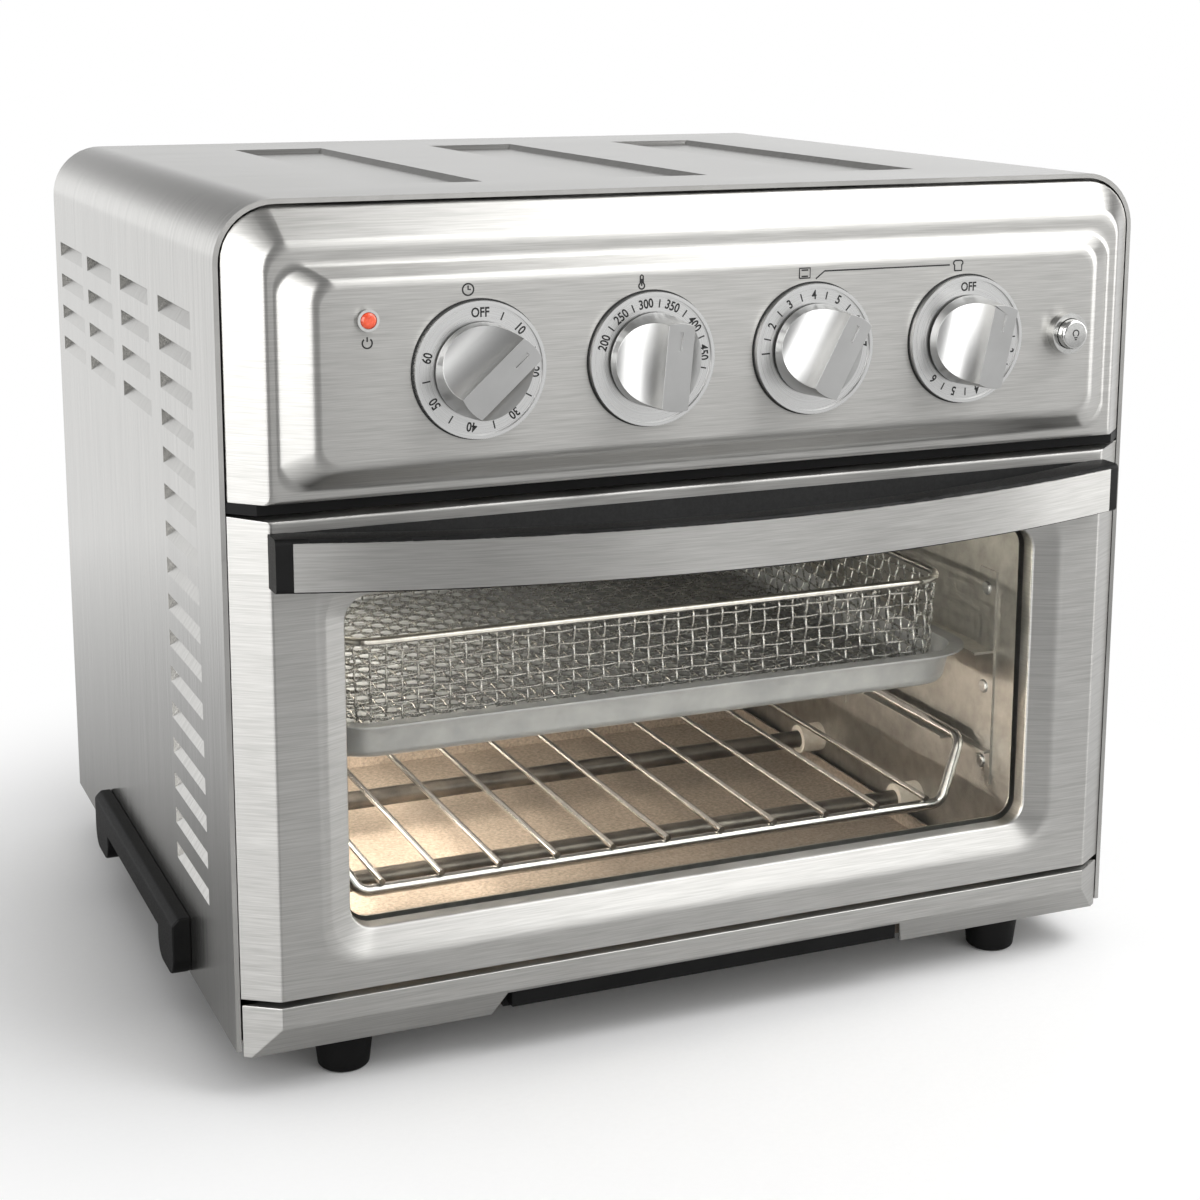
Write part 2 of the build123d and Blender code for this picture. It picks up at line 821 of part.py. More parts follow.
def lamp_plane():
    """Axis of the oven lamp, pointing into the cavity from the left wall's inner face."""
    return Plane(origin=(-cavity_half, behind(lamp_at), lamp_z), x_dir=(0, 1, 0), z_dir=(1, 0, 0))


def make_lamp_cover():
    inner = lamp_cover_radius - lamp_cover_wall
    cup = Cylinder(lamp_cover_radius - plate_gap, lamp_cover_depth, align=on_base)
    cup = fillet(cup.edges().sort_by(Axis.Z)[-1], lamp_cover_depth / 2)
    cup += Cylinder(lamp_cover_radius + lamp_flange, lamp_flange_thickness, align=on_base)
    hollow = Cylinder(inner - plate_gap, lamp_cover_depth - lamp_cover_wall, align=on_base)
    hollow = fillet(hollow.edges().sort_by(Axis.Z)[-1], lamp_cover_depth / 2 - lamp_cover_wall)
    return lamp_plane() * (cup - hollow)


def make_lamp_holder():
    cup = Cylinder(holder_radius, holder_depth, align=from_top)
    cup -= Cylinder(holder_radius - sheet, holder_depth - holder_floor, align=from_top)
    cup -= Cylinder(bulb_base_radius + running_fit, holder_depth - holder_base, align=from_top)
    return lamp_plane() * Pos(0, 0, -sheet) * cup


def make_lamp_bulb():
    tip = lamp_cover_depth - lamp_cover_wall - bulb_tip_gap
    glass = Pos(0, 0, tip) * Cylinder(bulb_radius, bulb_length, align=from_top)
    glass = fillet(glass.edges().sort_by(Axis.Z)[-1], bulb_radius - bulb_flat)
    glass = fillet(glass.edges().sort_by(Axis.Z)[0], bulb_radius - bulb_base_radius - bulb_flat)
    seat = holder_base - sheet - holder_depth
    stem_length = tip - bulb_length + bulb_seat - seat
    return lamp_plane() * (glass + Pos(0, 0, seat) * Cylinder(bulb_base_radius, stem_length, align=on_base))


# Rack guides: straps on the wall, a ledge for the rack and a ledge for the pan
rack_ledge_top = rack_z - rack_wire - rest_gap
pan_ledge_top = pan_rim_z - sheet - rest_gap


def ledge(reach, front, rear, top):
    """A flat ledge off the right wall, under whatever slides on it."""
    face = Pos((behind(front) + behind(rear)) / 2, top - guide_sheet / 2)
    face *= Rectangle(rear - front, guide_sheet)
    return side_bar(face, cavity_half - reach, cavity_half)


def make_rack_guide():
    guide = ledge(guide_ledge_narrow, guide_front, guide_rear, rack_ledge_top)
    guide += ledge(guide_ledge, guide_wide_from, guide_wide_to, rack_ledge_top)
    guide += ledge(guide_ledge, guide_front, guide_rear, pan_ledge_top)
    for at in guide_strap_rows:
        strap = Pos(behind(at), (guide_strap_low + guide_strap_high) / 2)
        strap *= Rectangle(guide_strap, guide_strap_high - guide_strap_low)
        strap -= [Pos(behind(at), z) * Circle(rivet_radius + plate_gap) for z in rivet_rows]
        guide += side_bar(strap, cavity_half - guide_sheet, cavity_half)
    return guide


def make_guide_rivets():
    inner = cavity_half - guide_sheet
    rivets = []
    for at in guide_strap_rows:
        for z in rivet_rows:
            centre = Pos(behind(at), z)
            rivet = side_bar(centre * Circle(rivet_head), inner - rivet_head_rise, inner)
            rivet = fillet(rivet.edges().sort_by(Axis.X)[0], rivet_round)
            rivets.append(rivet + side_bar(centre * Circle(rivet_radius), inner, cavity_half + 2 * sheet))
    return both_sides(group(rivets))


def make_rack_frame():
    """Loop of wire whose ends dip, from its side runs down to the level of the slats."""
    low = rack_z - rack_drop
    front, rear = behind(rack_front), behind(rack_rear)
    path = FilletPolyline(
        (0, front, low), (rack_low_half, front, low), (rack_half, front + rack_bend_run, rack_z),
        (rack_half, rear - rack_bend_run, rack_z), (rack_low_half, rear, low), (0, rear, low),
        radius=rack_bend_radius)
    start = Plane(origin=(0, front, low), x_dir=(0, 1, 0), z_dir=(1, 0, 0))
    half = sweep(start * Circle(rack_wire), path=path)
    return half + mirror(half, about=Plane.YZ)


def make_rack_slats():
    z = rack_z - rack_drop + rack_wire + slat_wire + weld_gap
    front, rear = behind(rack_front) - rack_wire, behind(rack_rear) + rack_wire
    step = slat_span / (slat_count - 1)
    return group([slab(disc(index * step - slat_span / 2, z, slat_wire), front, rear)
                  for index in range(slat_count)])


def tub(half, front, rear, low, high, draft, corner):
    """Tapered rounded block, drawn in by its draft at the bottom."""
    middle = Pos(0, (behind(front) + behind(rear)) / 2)
    foot = RectangleRounded(2 * (half - draft), rear - front - 2 * draft, corner - draft)
    mouth = RectangleRounded(2 * half, rear - front, corner)
    return loft([Plane.XY.offset(low) * middle * foot, Plane.XY.offset(high) * middle * mouth], ruled=True)


def make_baking_pan():
    half = pan_half - pan_rim_width
    front, rear = pan_front + pan_rim_width, pan_rear - pan_rim_width
    body = tub(half, front, rear, pan_z, pan_rim_z, pan_draft, pan_corner)
    body = fillet(body.faces().sort_by(Axis.Z)[0].edges(), pan_round)
    hollow = tub(half - sheet, front + sheet, rear - sheet, pan_z + sheet, pan_rim_z, pan_draft,
                 pan_corner - sheet)
    hollow = fillet(hollow.faces().sort_by(Axis.Z)[0].edges(), pan_round - sheet)
    rim = RectangleRounded(2 * pan_half, pan_rear - pan_front, pan_corner + pan_rim_width)
    body += level(Pos(0, (behind(front) + behind(rear)) / 2) * rim, pan_rim_z - sheet, pan_rim_z)
    return body - hollow


basket_low = pan_z + sheet + rest_gap


def make_basket_mesh():
    """Mesh tub of the basket as one thin wall, open at the top."""
    body = tub(basket_half, basket_front, basket_rear, basket_low, basket_top, basket_draft, basket_corner)
    hollow = tub(basket_half - basket_wall, basket_front + basket_wall, basket_rear - basket_wall,
                 basket_low + basket_wall, basket_top, basket_draft, basket_corner - basket_wall)
    return body - hollow


def make_basket_rim():
    z = basket_top + basket_wire
    half = basket_half - basket_wall / 2
    front, rear = behind(basket_front) + basket_wall / 2, behind(basket_rear) - basket_wall / 2
    corners = [(0, front, z), (half, front, z), (half, rear, z), (0, rear, z)]
    path = FilletPolyline(*corners, radius=basket_corner)
    start = Plane(origin=(0, front, z), x_dir=(0, 1, 0), z_dir=(1, 0, 0))
    side = sweep(start * Circle(basket_wire), path=path)
    return side + mirror(side, about=Plane.YZ)


# Door: bevelled skin with a dished window, liner with the glass behind it
door_front = behind(-door_thickness)
glass_front = behind(glass_setback)
glass_back = glass_front + glass_thickness
glass_half = window_half + glass_lap
glass_low = window_low - glass_lap
glass_high = window_high + glass_lap


def window(grow):
    return outline(window_half + grow, window_low - grow, window_high + grow, window_corner + grow,
                   window_corner + grow)


def dish(grow):
    """Soft dish round the window and the straight lip behind it, grown by a wall."""
    floor_y = door_front + dish_depth + grow
    mouth = outline(window_half + dish_width + grow, window_low - dish_width - grow,
                    window_high + dish_width + grow, dish_corner, dish_corner)
    return bevel(window(grow), floor_y, mouth, door_front) + slab(window(grow), floor_y, glass_front)


def hinge_slots():
    """Room for the hinge arms, open to the door's back and bottom."""
    width = hinge_arm_width + 2 * hinge_slot
    low, high = door_bottom - sheet, hinge_z + hinge_arm + 2 * hinge_slot
    front, back = door_front + sheet, behind(frame_setback)
    box = slab(Pos(0, (low + high) / 2) * Rectangle(width, high - low), front, back)
    return [Pos(side * hinge_x, 0, 0) * box for side in (-1, 1)]


def door_form(inset):
    base = outline(opening_half - inset, door_bottom + inset, door_top - inset, 0, 0)
    front = outline(door_face_half - inset, door_bottom + inset, door_top - door_top_roll - inset, 0, 0)
    return bevel(base, behind(0), front, door_front + inset)


def make_door_skin():
    skin = door_form(0) - door_form(sheet) + dish(sheet) - dish(0)
    return skin - hinge_slots()


def make_door_liner():
    """Back sheet of the door, with the raised tray that clamps the glass and the ears of the hinge pins."""
    plate = slab(outline(opening_half, door_bottom, door_top, 0, 0), behind(0), behind(sheet))
    half, low, high = glass_half + plateau_wall, glass_low - plateau_wall, glass_high + plateau_wall
    tray = outline(half + sheet, low - sheet, high + sheet, window_corner, window_corner)
    hollow = outline(half, low, high, window_corner - sheet, window_corner - sheet)
    liner = plate + slab(tray, behind(0), glass_back + sheet) - slab(hollow, behind(0), glass_back)
    liner -= slab(window(-liner_window_inset), glass_back - sheet, glass_back + 2 * sheet)
    liner -= hinge_slots()
    ear_front = behind(-hinge_ahead) - hinge_arm
    ear = Pos((ear_front + behind(0)) / 2, (door_bottom + hinge_z + 2 * hinge_arm) / 2 + sheet)
    ear *= Rectangle(behind(0) - ear_front, hinge_z + 2 * hinge_arm - door_bottom - sheet)
    ear -= Pos(behind(-hinge_ahead), hinge_z) * Circle(hinge_pin + running_fit)
    reach = hinge_arm_width / 2 + hinge_slot
    for x in (hinge_x - reach - hinge_ear, hinge_x + reach):
        for side in (-1, 1):
            x_low = min(side * x, side * (x + hinge_ear))
            liner += side_bar(ear, x_low, x_low + hinge_ear)
    return liner


def make_door_glass():
    pane = outline(glass_half, glass_low, glass_high, window_corner, window_corner)
    return slab(pane, glass_front, glass_back)


def make_hinge_pins():
    reach = hinge_arm_width / 2 + hinge_slot + hinge_ear + hinge_pin_end
    pin = side_bar(Pos(behind(-hinge_ahead), hinge_z) * Circle(hinge_pin), hinge_x - reach, hinge_x + reach)
    return both_sides(pin)


def make_hinge_brackets():
    pivot = behind(-hinge_ahead)
    arm = Pos((pivot + frame_front) / 2, hinge_z) * Rectangle(frame_front - pivot, 2 * hinge_arm)
    arm += Pos(pivot, hinge_z) * Circle(hinge_arm)
    arm -= Pos(pivot, hinge_z) * Circle(hinge_pin + running_fit)
    bracket = side_bar(arm, hinge_x - hinge_arm_width / 2, hinge_x + hinge_arm_width / 2)
    foot = Pos(hinge_x, hinge_z) * Rectangle(hinge_foot_width, hinge_foot_height)
    bracket += slab(foot, frame_front - hinge_foot_sheet, frame_front)
    return both_sides(bracket)


# Handle, drawn in plan as arcs through its ends and its middle
def arc_radius(half_chord, rise):
    return (half_chord ** 2 + rise ** 2) / (2 * rise)


handle_end_y = door_front - handle_end_stand
core_front_y = behind(-handle_reach) + strip_sheet + strip_gap
core_rise = handle_end_y - core_front_y
core_radius = arc_radius(handle_half, core_rise)
bow_centre_y = core_front_y + core_radius


def make_handle_core():
    inner_half = handle_half - handle_post
    inner_mid = core_front_y + handle_core_depth
    face = make_face([
        ThreePointArc((-handle_half, handle_end_y), (0, core_front_y), (handle_half, handle_end_y)),
        Line((handle_half, handle_end_y), (handle_half, door_front)),
        Line((handle_half, door_front), (inner_half, door_front)),
        ThreePointArc((inner_half, door_front), (0, inner_mid), (-inner_half, door_front)),
        Line((-inner_half, door_front), (-handle_half, door_front)),
        Line((-handle_half, door_front), (-handle_half, handle_end_y)),
    ])
    core = level(face, handle_low, handle_high)
    return fillet(core.edges().filter_by(GeomType.CIRCLE), handle_round)


def make_handle_strip():
    ring = Circle(core_radius + strip_gap + strip_sheet) - Circle(core_radius + strip_gap)
    keep = Pos(0, -core_radius) * Rectangle(2 * strip_half, 2 * core_radius)
    return level(Pos(0, bow_centre_y) * (ring & keep), handle_low + strip_edge, handle_high - strip_edge)


# Crumb tray: the lower trim is its front, with a finger cut-out
tray_mid = behind(-door_thickness + tray_bevel_depth)
tray_mid_half = opening_half - door_bevel_width * (door_thickness - tray_bevel_depth) / door_thickness


def tray_front_form(inset):
    front = outline(door_face_half - inset, tray_bend, tray_top - inset, 0, 0)
    mid = outline(tray_mid_half - inset, tray_low + inset, tray_top - inset, 0, 0)
    back = outline(opening_half - inset, tray_low + inset, tray_top - inset, 0, 0)
    return bevel(mid, tray_mid, front, door_front + inset) + bevel(back, behind(0), mid, tray_mid)


def make_tray_front():
    below = tray_low - sheet
    cut = Polyline((-pull_half_low, below), (pull_half_low, below), (pull_half_high, pull_top),
                   (-pull_half_high, pull_top), close=True)
    return tray_front_form(0) - tray_front_form(tray_sheet) - slab(make_face(cut), door_front, behind(0))


def make_tray_grip():
    plate = outline(pull_half_high, tray_back_low, tray_top - 2 * tray_sheet, 0, 0)
    lip = outline(pull_half_high - grip_lip_end, pull_top - grip_lip, pull_top, 0, 0)
    grip = slab(plate, behind(-grip_plate), behind(0))
    return grip + slab(lip, behind(-grip_plate - grip_lip_reach), behind(-grip_plate))


def make_tray_pan():
    wall_top = tray_floor + tray_wall
    face = outline(opening_half - tray_sheet / 2, tray_back_low, tray_top - tray_sheet / 2, 0, 0)
    pan = slab(face, behind(0), behind(sheet))
    pan += slab(outline(tray_half, tray_floor, wall_top, 0, 0), behind(0), behind(tray_length))
    hollow = outline(tray_half - sheet, tray_floor + sheet, wall_top + sheet, 0, 0)
    return pan - slab(hollow, behind(sheet), behind(tray_length - sheet))


lower_rows, upper_rows = heater_places()
guide = make_rack_guide()
grip = make_side_grip()

nodes = {
    "outer_wrap": make_outer_wrap(),
    "rear_panel": make_rear_panel(),
    "rear_screws": make_rear_screws(),
    "cord_gland": make_cord_gland(),
    "base_plate": make_base_plate(),
    "feet": make_feet(),
    "foot_screws": make_foot_screws(),
    "side_grip_left": mirror(grip, about=Plane.YZ),
    "side_grip_right": grip,
    "control_fascia": make_control_fascia(),
    "shadow_strip": make_shadow_strip(),
    "dial_plates": make_dial_plates(),
    "bezels": make_bezels(),
    "pilot_lens": make_pilot_lens(),
    "light_button": make_light_button(),
    "light_switch": make_light_switch(),
    "front_frame": make_front_frame(),
    "cavity_left_wall": make_cavity_wall(-1),
    "cavity_right_wall": make_cavity_wall(1),
    "cavity_ceiling": make_cavity_ceiling(),
    "cavity_back": make_cavity_back(),
    "lower_heaters": make_heaters(lower_rows),
    "upper_heaters": make_heaters(upper_rows),
    "heater_insulators": make_insulators(),
    "fan_guard": make_fan_guard(),
    "fan_rotor": make_fan_rotor(),
    "fan_motor": make_fan_motor(),
    "lamp_cover": make_lamp_cover(),
    "lamp_holder": make_lamp_holder(),
    "lamp_bulb": make_lamp_bulb(),
    "rack_guide_left": mirror(guide, about=Plane.YZ),
    "rack_guide_right": guide,
    "guide_rivets": make_guide_rivets(),
    "rack_frame": make_rack_frame(),
    "rack_slats": make_rack_slats(),
    "baking_pan": make_baking_pan(),
    "basket_mesh": make_basket_mesh(),
    "basket_rim": make_basket_rim(),
    "door_skin": make_door_skin(),
    "door_liner": make_door_liner(),
    "door_glass": make_door_glass(),
    "hinge_pins": make_hinge_pins(),
    "hinge_brackets": make_hinge_brackets(),
    "handle_core": make_handle_core(),
    "handle_strip": make_handle_strip(),
    "crumb_tray_front": make_tray_front(),
    "crumb_tray_grip": make_tray_grip(),
    "crumb_tray_pan": make_tray_pan(),
}
dials = (("timer", timer_turn, True), ("thermostat", thermostat_turn, False),
         ("function", function_turn, False), ("toast", toast_turn, True))
for x, (name, turn, gong) in zip(dial_xs, dials):
    nodes[name + "_knob"] = make_knob(x, turn)
    nodes[name + "_shaft"] = make_shaft(x)
    nodes[name + "_unit"] = make_unit(x, gong)

os.makedirs("parts", exist_ok=True)
for name, shape in nodes.items():
    export_step(shape, f"parts/{name}.step")
print(len(nodes), "nodes")
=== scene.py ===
import json
import math

import bpy
import numpy as np
from mathutils import Matrix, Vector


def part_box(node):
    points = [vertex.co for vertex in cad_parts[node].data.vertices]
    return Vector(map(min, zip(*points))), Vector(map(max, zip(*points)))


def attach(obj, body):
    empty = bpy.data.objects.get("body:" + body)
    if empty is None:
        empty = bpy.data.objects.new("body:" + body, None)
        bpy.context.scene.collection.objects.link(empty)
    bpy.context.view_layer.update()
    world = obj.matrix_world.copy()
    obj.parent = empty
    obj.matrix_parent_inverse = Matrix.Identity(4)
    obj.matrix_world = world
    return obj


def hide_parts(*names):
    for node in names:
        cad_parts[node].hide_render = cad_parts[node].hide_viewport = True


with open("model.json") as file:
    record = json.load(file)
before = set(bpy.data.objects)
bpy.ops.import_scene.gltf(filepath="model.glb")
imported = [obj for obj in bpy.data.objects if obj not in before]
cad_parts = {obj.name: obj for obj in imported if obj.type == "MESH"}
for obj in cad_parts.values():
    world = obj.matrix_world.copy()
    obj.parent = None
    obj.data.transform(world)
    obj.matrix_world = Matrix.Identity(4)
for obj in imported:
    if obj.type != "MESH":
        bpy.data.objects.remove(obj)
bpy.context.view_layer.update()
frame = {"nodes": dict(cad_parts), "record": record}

# Toaster oven: finishes, printed dials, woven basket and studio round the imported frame.
# Metres, X across, Z up.
nodes = frame["nodes"]
scene = bpy.context.scene
mm = 0.001
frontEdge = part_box("outer_wrap")[0].y  # the wrap's front edge, which the panels are measured from


def linear(code):
    # hex sRGB to the linear colour that a socket takes
    part = np.array([int(code[at:at + 2], 16) for at in (1, 3, 5)]) / 255
    value = np.where(part <= 0.04045, part / 12.92, ((part + 0.055) / 1.055) ** 2.4)
    return (*value.tolist(), 1.0)


def put(tree, kind, inputs=None, **settings):
    # one node with its settings, and its sockets set or linked
    made = tree.nodes.new("ShaderNode" + kind)
    for name, value in settings.items():
        setattr(made, name, value)
    for key, value in (inputs or {}).items():
        if isinstance(value, bpy.types.NodeSocket):
            tree.links.new(value, made.inputs[key])
        else:
            made.inputs[key].default_value = value
    return made


def startMaterial(name):
    material = bpy.data.materials.new(name)
    material.use_nodes = True
    material.node_tree.nodes.clear()
    return material, material.node_tree


def finishMaterial(tree, shader):
    put(tree, "OutputMaterial", {"Surface": shader})


def perMetre(sizesMm):
    return [1 / (size * mm) for size in sizesMm]


noiseLow, noiseHigh = 0.3, 0.7  # most of a noise lies between these, so they are drawn out to its whole range


# Brushed stainless sheet: belt grinding leaves straight scratches of all lengths side by side. They spread
# every reflection across the grain, so a lamp shows as a soft band, with lighter and darker streaks along it.
# Real scratches are finer than a pixel, so the streaks are drawn as coarse as they need to be to show.
def brushedSteel(name, look):
    material, tree = startMaterial(name)
    place = put(tree, "TexCoord").outputs["Object"]
    finePlace = put(tree, "Mapping", {"Vector": place, "Scale": perMetre(look["fineMm"])}).outputs[0]
    broadPlace = put(tree, "Mapping", {"Vector": place, "Scale": perMetre(look["broadMm"])}).outputs[0]
    fine = put(tree, "TexNoise", {"Vector": finePlace, "Scale": 1.0, "Detail": 2.0,
                                  "Roughness": 0.6}).outputs[0]
    broad = put(tree, "TexNoise", {"Vector": broadPlace, "Scale": 1.0, "Detail": 1.0}).outputs[0]
    streak = put(tree, "Mix", {0: look["broadShare"], 2: fine, 3: broad}).outputs[0]
    tone = put(tree, "MapRange", {"Value": streak, "From Min": noiseLow, "From Max": noiseHigh}).outputs[0]
    colour = put(tree, "Mix", {0: tone, 6: linear(look["dark"]), 7: linear(look["light"])}, data_type="RGBA")
    low, high = look["roughness"]
    rough = put(tree, "MapRange", {"Value": streak, "From Min": noiseLow, "From Max": noiseHigh,
                                   "To Min": low, "To Max": high})
    bump = put(tree, "Bump", {"Height": fine, "Strength": look["bump"], "Distance": look["scratchMm"] * mm})
    across = put(tree, "CombineXYZ", look["across"]).outputs[0]  # the way that reflections spread
    shader = put(tree, "BsdfPrincipled", {
        "Base Color": colour.outputs[2], "Metallic": 1.0, "Roughness": rough.outputs[0],
        "Anisotropic": look["spread"], "Tangent": across, "Normal": bump.outputs[0]})
    finishMaterial(tree, shader.outputs[0])
    return material


frontSteel = brushedSteel("brushedStainlessAcross", {
    "fineMm": (20.0, 20.0, 0.45), "broadMm": (90.0, 90.0, 1.6), "broadShare": 0.15, "dark": "#acaba8",
    "light": "#c4c3c0", "roughness": (0.31, 0.36), "spread": 0.85, "across": {"Z": 1.0}, "bump": 0.15,
    "scratchMm": 0.01})
wrapSteel = brushedSteel("brushedStainlessUpright", {
    "fineMm": (45.0, 0.6, 45.0), "broadMm": (150.0, 2.4, 150.0), "broadShare": 0.2, "dark": "#aeadaa",
    "light": "#cccbc8", "roughness": (0.18, 0.24), "spread": 0.4, "across": {"Y": 1.0}, "bump": 0.25,
    "scratchMm": 0.01})


# Spun aluminium dial plate: turned on a lathe, so fine rings run round each dial's own centre and light
# gathers in fans that point at it.
dialLook = {"ringMm": 0.5, "dark": "#c8c8c7", "light": "#e6e6e5", "roughness": (0.24, 0.34), "bump": 0.5,
            "scratchMm": 0.03}
dialCount = 4
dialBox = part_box("dial_plates")
dialRadius = (dialBox[1].z - dialBox[0].z) / 2
dialZ = (dialBox[1].z + dialBox[0].z) / 2
dialReach = dialBox[1].x - dialRadius  # the outer dials stand this far from the middle
dialPitch = 2 * dialReach / (dialCount - 1)
dialFace = dialBox[0].y
dialXs = [-dialReach + index * dialPitch for index in range(dialCount)]


def spunAluminium(name, look):
    material, tree = startMaterial(name)
    place = put(tree, "TexCoord").outputs["Object"]
    part = put(tree, "SeparateXYZ", {0: place}).outputs
    across = put(tree, "Math", {0: part["X"], 1: dialPitch, 2: 0.0}, operation="WRAP").outputs[0]
    sideways = put(tree, "Math", {0: across, 1: dialPitch / 2}, operation="SUBTRACT").outputs[0]
    upward = put(tree, "Math", {0: part["Z"], 1: dialZ}, operation="SUBTRACT").outputs[0]
    flat = put(tree, "CombineXYZ", {"X": sideways, "Z": upward}).outputs[0]
    radius = put(tree, "VectorMath", {0: flat}, operation="LENGTH").outputs["Value"]
    turn = put(tree, "Math", {0: radius, 1: 1 / (look["ringMm"] * mm)}, operation="MULTIPLY").outputs[0]
    ring = put(tree, "TexNoise", {"W": turn, "Scale": 1.0, "Detail": 2.0}, noise_dimensions="1D").outputs[0]
    colour = put(tree, "Mix", {0: ring, 6: linear(look["dark"]), 7: linear(look["light"])}, data_type="RGBA")
    low, high = look["roughness"]
    rough = put(tree, "MapRange", {"Value": ring, "To Min": low, "To Max": high})
    bump = put(tree, "Bump", {"Height": ring, "Strength": look["bump"], "Distance": look["scratchMm"] * mm})
    shader = put(tree, "BsdfPrincipled", {
        "Base Color": colour.outputs[2], "Metallic": 1.0, "Roughness": rough.outputs[0],
        "Normal": bump.outputs[0]})
    finishMaterial(tree, shader.outputs[0])
    return material


toneLow, toneHigh = 0.32, 0.68  # the part of the colour noise that is drawn out
skinDepth = 0.1  # how deep a skin's grain is, as a share of its size


# A surface with a fine grain: two noises, one for colour and one for the skin's roughness and bump.
# Every cast, sprayed, dipped or moulded finish below is one of these, with its own sizes and colours.
def grainedFinish(name, look):
    material, tree = startMaterial(name)
    place = put(tree, "TexCoord").outputs["Object"]
    tonePlace = put(tree, "Mapping", {"Vector": place, "Scale": perMetre(look["toneMm"])}).outputs[0]
    skinPlace = put(tree, "Mapping", {"Vector": place, "Scale": perMetre(look["skinMm"])}).outputs[0]
    patch = put(tree, "TexNoise", {"Vector": tonePlace, "Scale": 1.0, "Detail": 4.0,
                                   "Roughness": 0.6}).outputs[0]
    skin = put(tree, "TexNoise", {"Vector": skinPlace, "Scale": 1.0, "Detail": 2.0}).outputs[0]
    tone = put(tree, "MapRange", {"Value": patch, "From Min": toneLow, "From Max": toneHigh}).outputs[0]
    colour = put(tree, "Mix", {0: tone, 6: linear(look["dark"]), 7: linear(look["light"])}, data_type="RGBA")
    low, high = look["roughness"]
    rough = put(tree, "MapRange", {"Value": skin, "From Min": noiseLow, "From Max": noiseHigh,
                                   "To Min": low, "To Max": high})
    depth = look["skinMm"][0] * skinDepth * mm
    bump = put(tree, "Bump", {"Height": skin, "Strength": look["bump"], "Distance": depth})
    sockets = {"Base Color": colour.outputs[2], "Metallic": look["metallic"], "Roughness": rough.outputs[0],
               "Normal": bump.outputs[0]}
    sockets.update(look.get("extra", {}))
    shader = put(tree, "BsdfPrincipled", sockets)
    finishMaterial(tree, shader.outputs[0])
    return material


# Galvanised sheet: zinc freezes in broad crystals, so neighbouring patches are lighter or darker.
galvanised = grainedFinish("galvanisedSheet", {
    "toneMm": (9.0, 9.0, 9.0), "skinMm": (1.2, 1.2, 1.2), "dark": "#a3a19c", "light": "#bdbbb6",
    "roughness": (0.3, 0.46), "bump": 0.12, "metallic": 1.0})
# Satin enamelled pan: sprayed and fired, an even blue-grey with a soft sheen.
enamel = grainedFinish("satinEnamel", {
    "toneMm": (14.0, 14.0, 14.0), "skinMm": (0.9, 0.9, 0.9), "dark": "#8d9093", "light": "#9fa2a4",
    "roughness": (0.34, 0.44), "bump": 0.15, "metallic": 0.35,
    "extra": {"Coat Weight": 0.2, "Coat Roughness": 0.25}})
# Aluminised crumb sheet: dull, with a fine speckle that catches the oven lamp.
crumbSheet = grainedFinish("aluminisedCrumbSheet", {
    "toneMm": (1.6, 1.6, 1.6), "skinMm": (1.0, 1.0, 1.0), "dark": "#7c7267", "light": "#a89c8e",
    "roughness": (0.5, 0.65), "bump": 0.25, "metallic": 0.2})
# Moulded black plastic: spark-eroded mould skin, a faint grain and a soft sheen.
blackPlastic = grainedFinish("mouldedBlackPlastic", {
    "toneMm": (20.0, 20.0, 20.0), "skinMm": (0.7, 0.7, 0.7), "dark": "#0d0d0d", "light": "#151515",
    "roughness": (0.42, 0.54), "bump": 0.2, "metallic": 0.0, "extra": {"Specular IOR Level": 0.16}})
# Black rubber gland: duller than the plastic.
rubber = grainedFinish("mouldedRubber", {
    "toneMm": (8.0, 8.0, 8.0), "skinMm": (0.6, 0.6, 0.6), "dark": "#1a1a1a", "light": "#242424",
    "roughness": (0.6, 0.72), "bump": 0.3, "metallic": 0.0})
# Bright nickel plate on drawn wire and on the small rings: clear reflections, slightly uneven.
plating = grainedFinish("brightNickelPlate", {
    "toneMm": (6.0, 6.0, 6.0), "skinMm": (0.8, 0.8, 0.8), "dark": "#c2c2c0", "light": "#d6d6d4",
    "roughness": (0.1, 0.18), "bump": 0.06, "metallic": 1.0})
# Tinned woven wire: softer than the plated rack, so the mesh glitters but doesn't mirror.
wovenWire = grainedFinish("tinnedWovenWire", {
    "toneMm": (5.0, 5.0, 5.0), "skinMm": (0.7, 0.7, 0.7), "dark": "#939392", "light": "#b4b4b2",
    "roughness": (0.2, 0.32), "bump": 0.1, "metallic": 1.0})
# Satin turned aluminium of the knobs: an even sheen with soft edges, too fine in grain for any to show.
knobMetal = grainedFinish("satinTurnedAluminium", {
    "toneMm": (30.0, 30.0, 30.0), "skinMm": (25.0, 25.0, 25.0), "dark": "#b4b4b3", "light": "#c0c0bf",
    "roughness": (0.33, 0.36), "bump": 0.0, "metallic": 1.0})
# Steel heater sheath: oxidised in use, a patchy dark grey-brown.
heaterSheath = grainedFinish("oxidisedHeaterSheath", {
    "toneMm": (16.0, 16.0, 16.0), "skinMm": (0.8, 0.8, 0.8), "dark": "#55524e", "light": "#7a756d",
    "roughness": (0.3, 0.42), "bump": 0.2, "metallic": 0.9})
# Unglazed ceramic beads: chalky off-white.
ceramic = grainedFinish("unglazedCeramic", {
    "toneMm": (4.0, 4.0, 4.0), "skinMm": (0.6, 0.6, 0.6), "dark": "#d9d2c5", "light": "#e9e4da",
    "roughness": (0.6, 0.75), "bump": 0.3, "metallic": 0.0})
# Zinc-plated screws and rivets: pale, slightly clouded.
fastener = grainedFinish("zincPlatedSteel", {
    "toneMm": (2.5, 2.5, 2.5), "skinMm": (0.8, 0.8, 0.8), "dark": "#a9aaab", "light": "#c9c9c8",
    "roughness": (0.26, 0.4), "bump": 0.1, "metallic": 1.0})
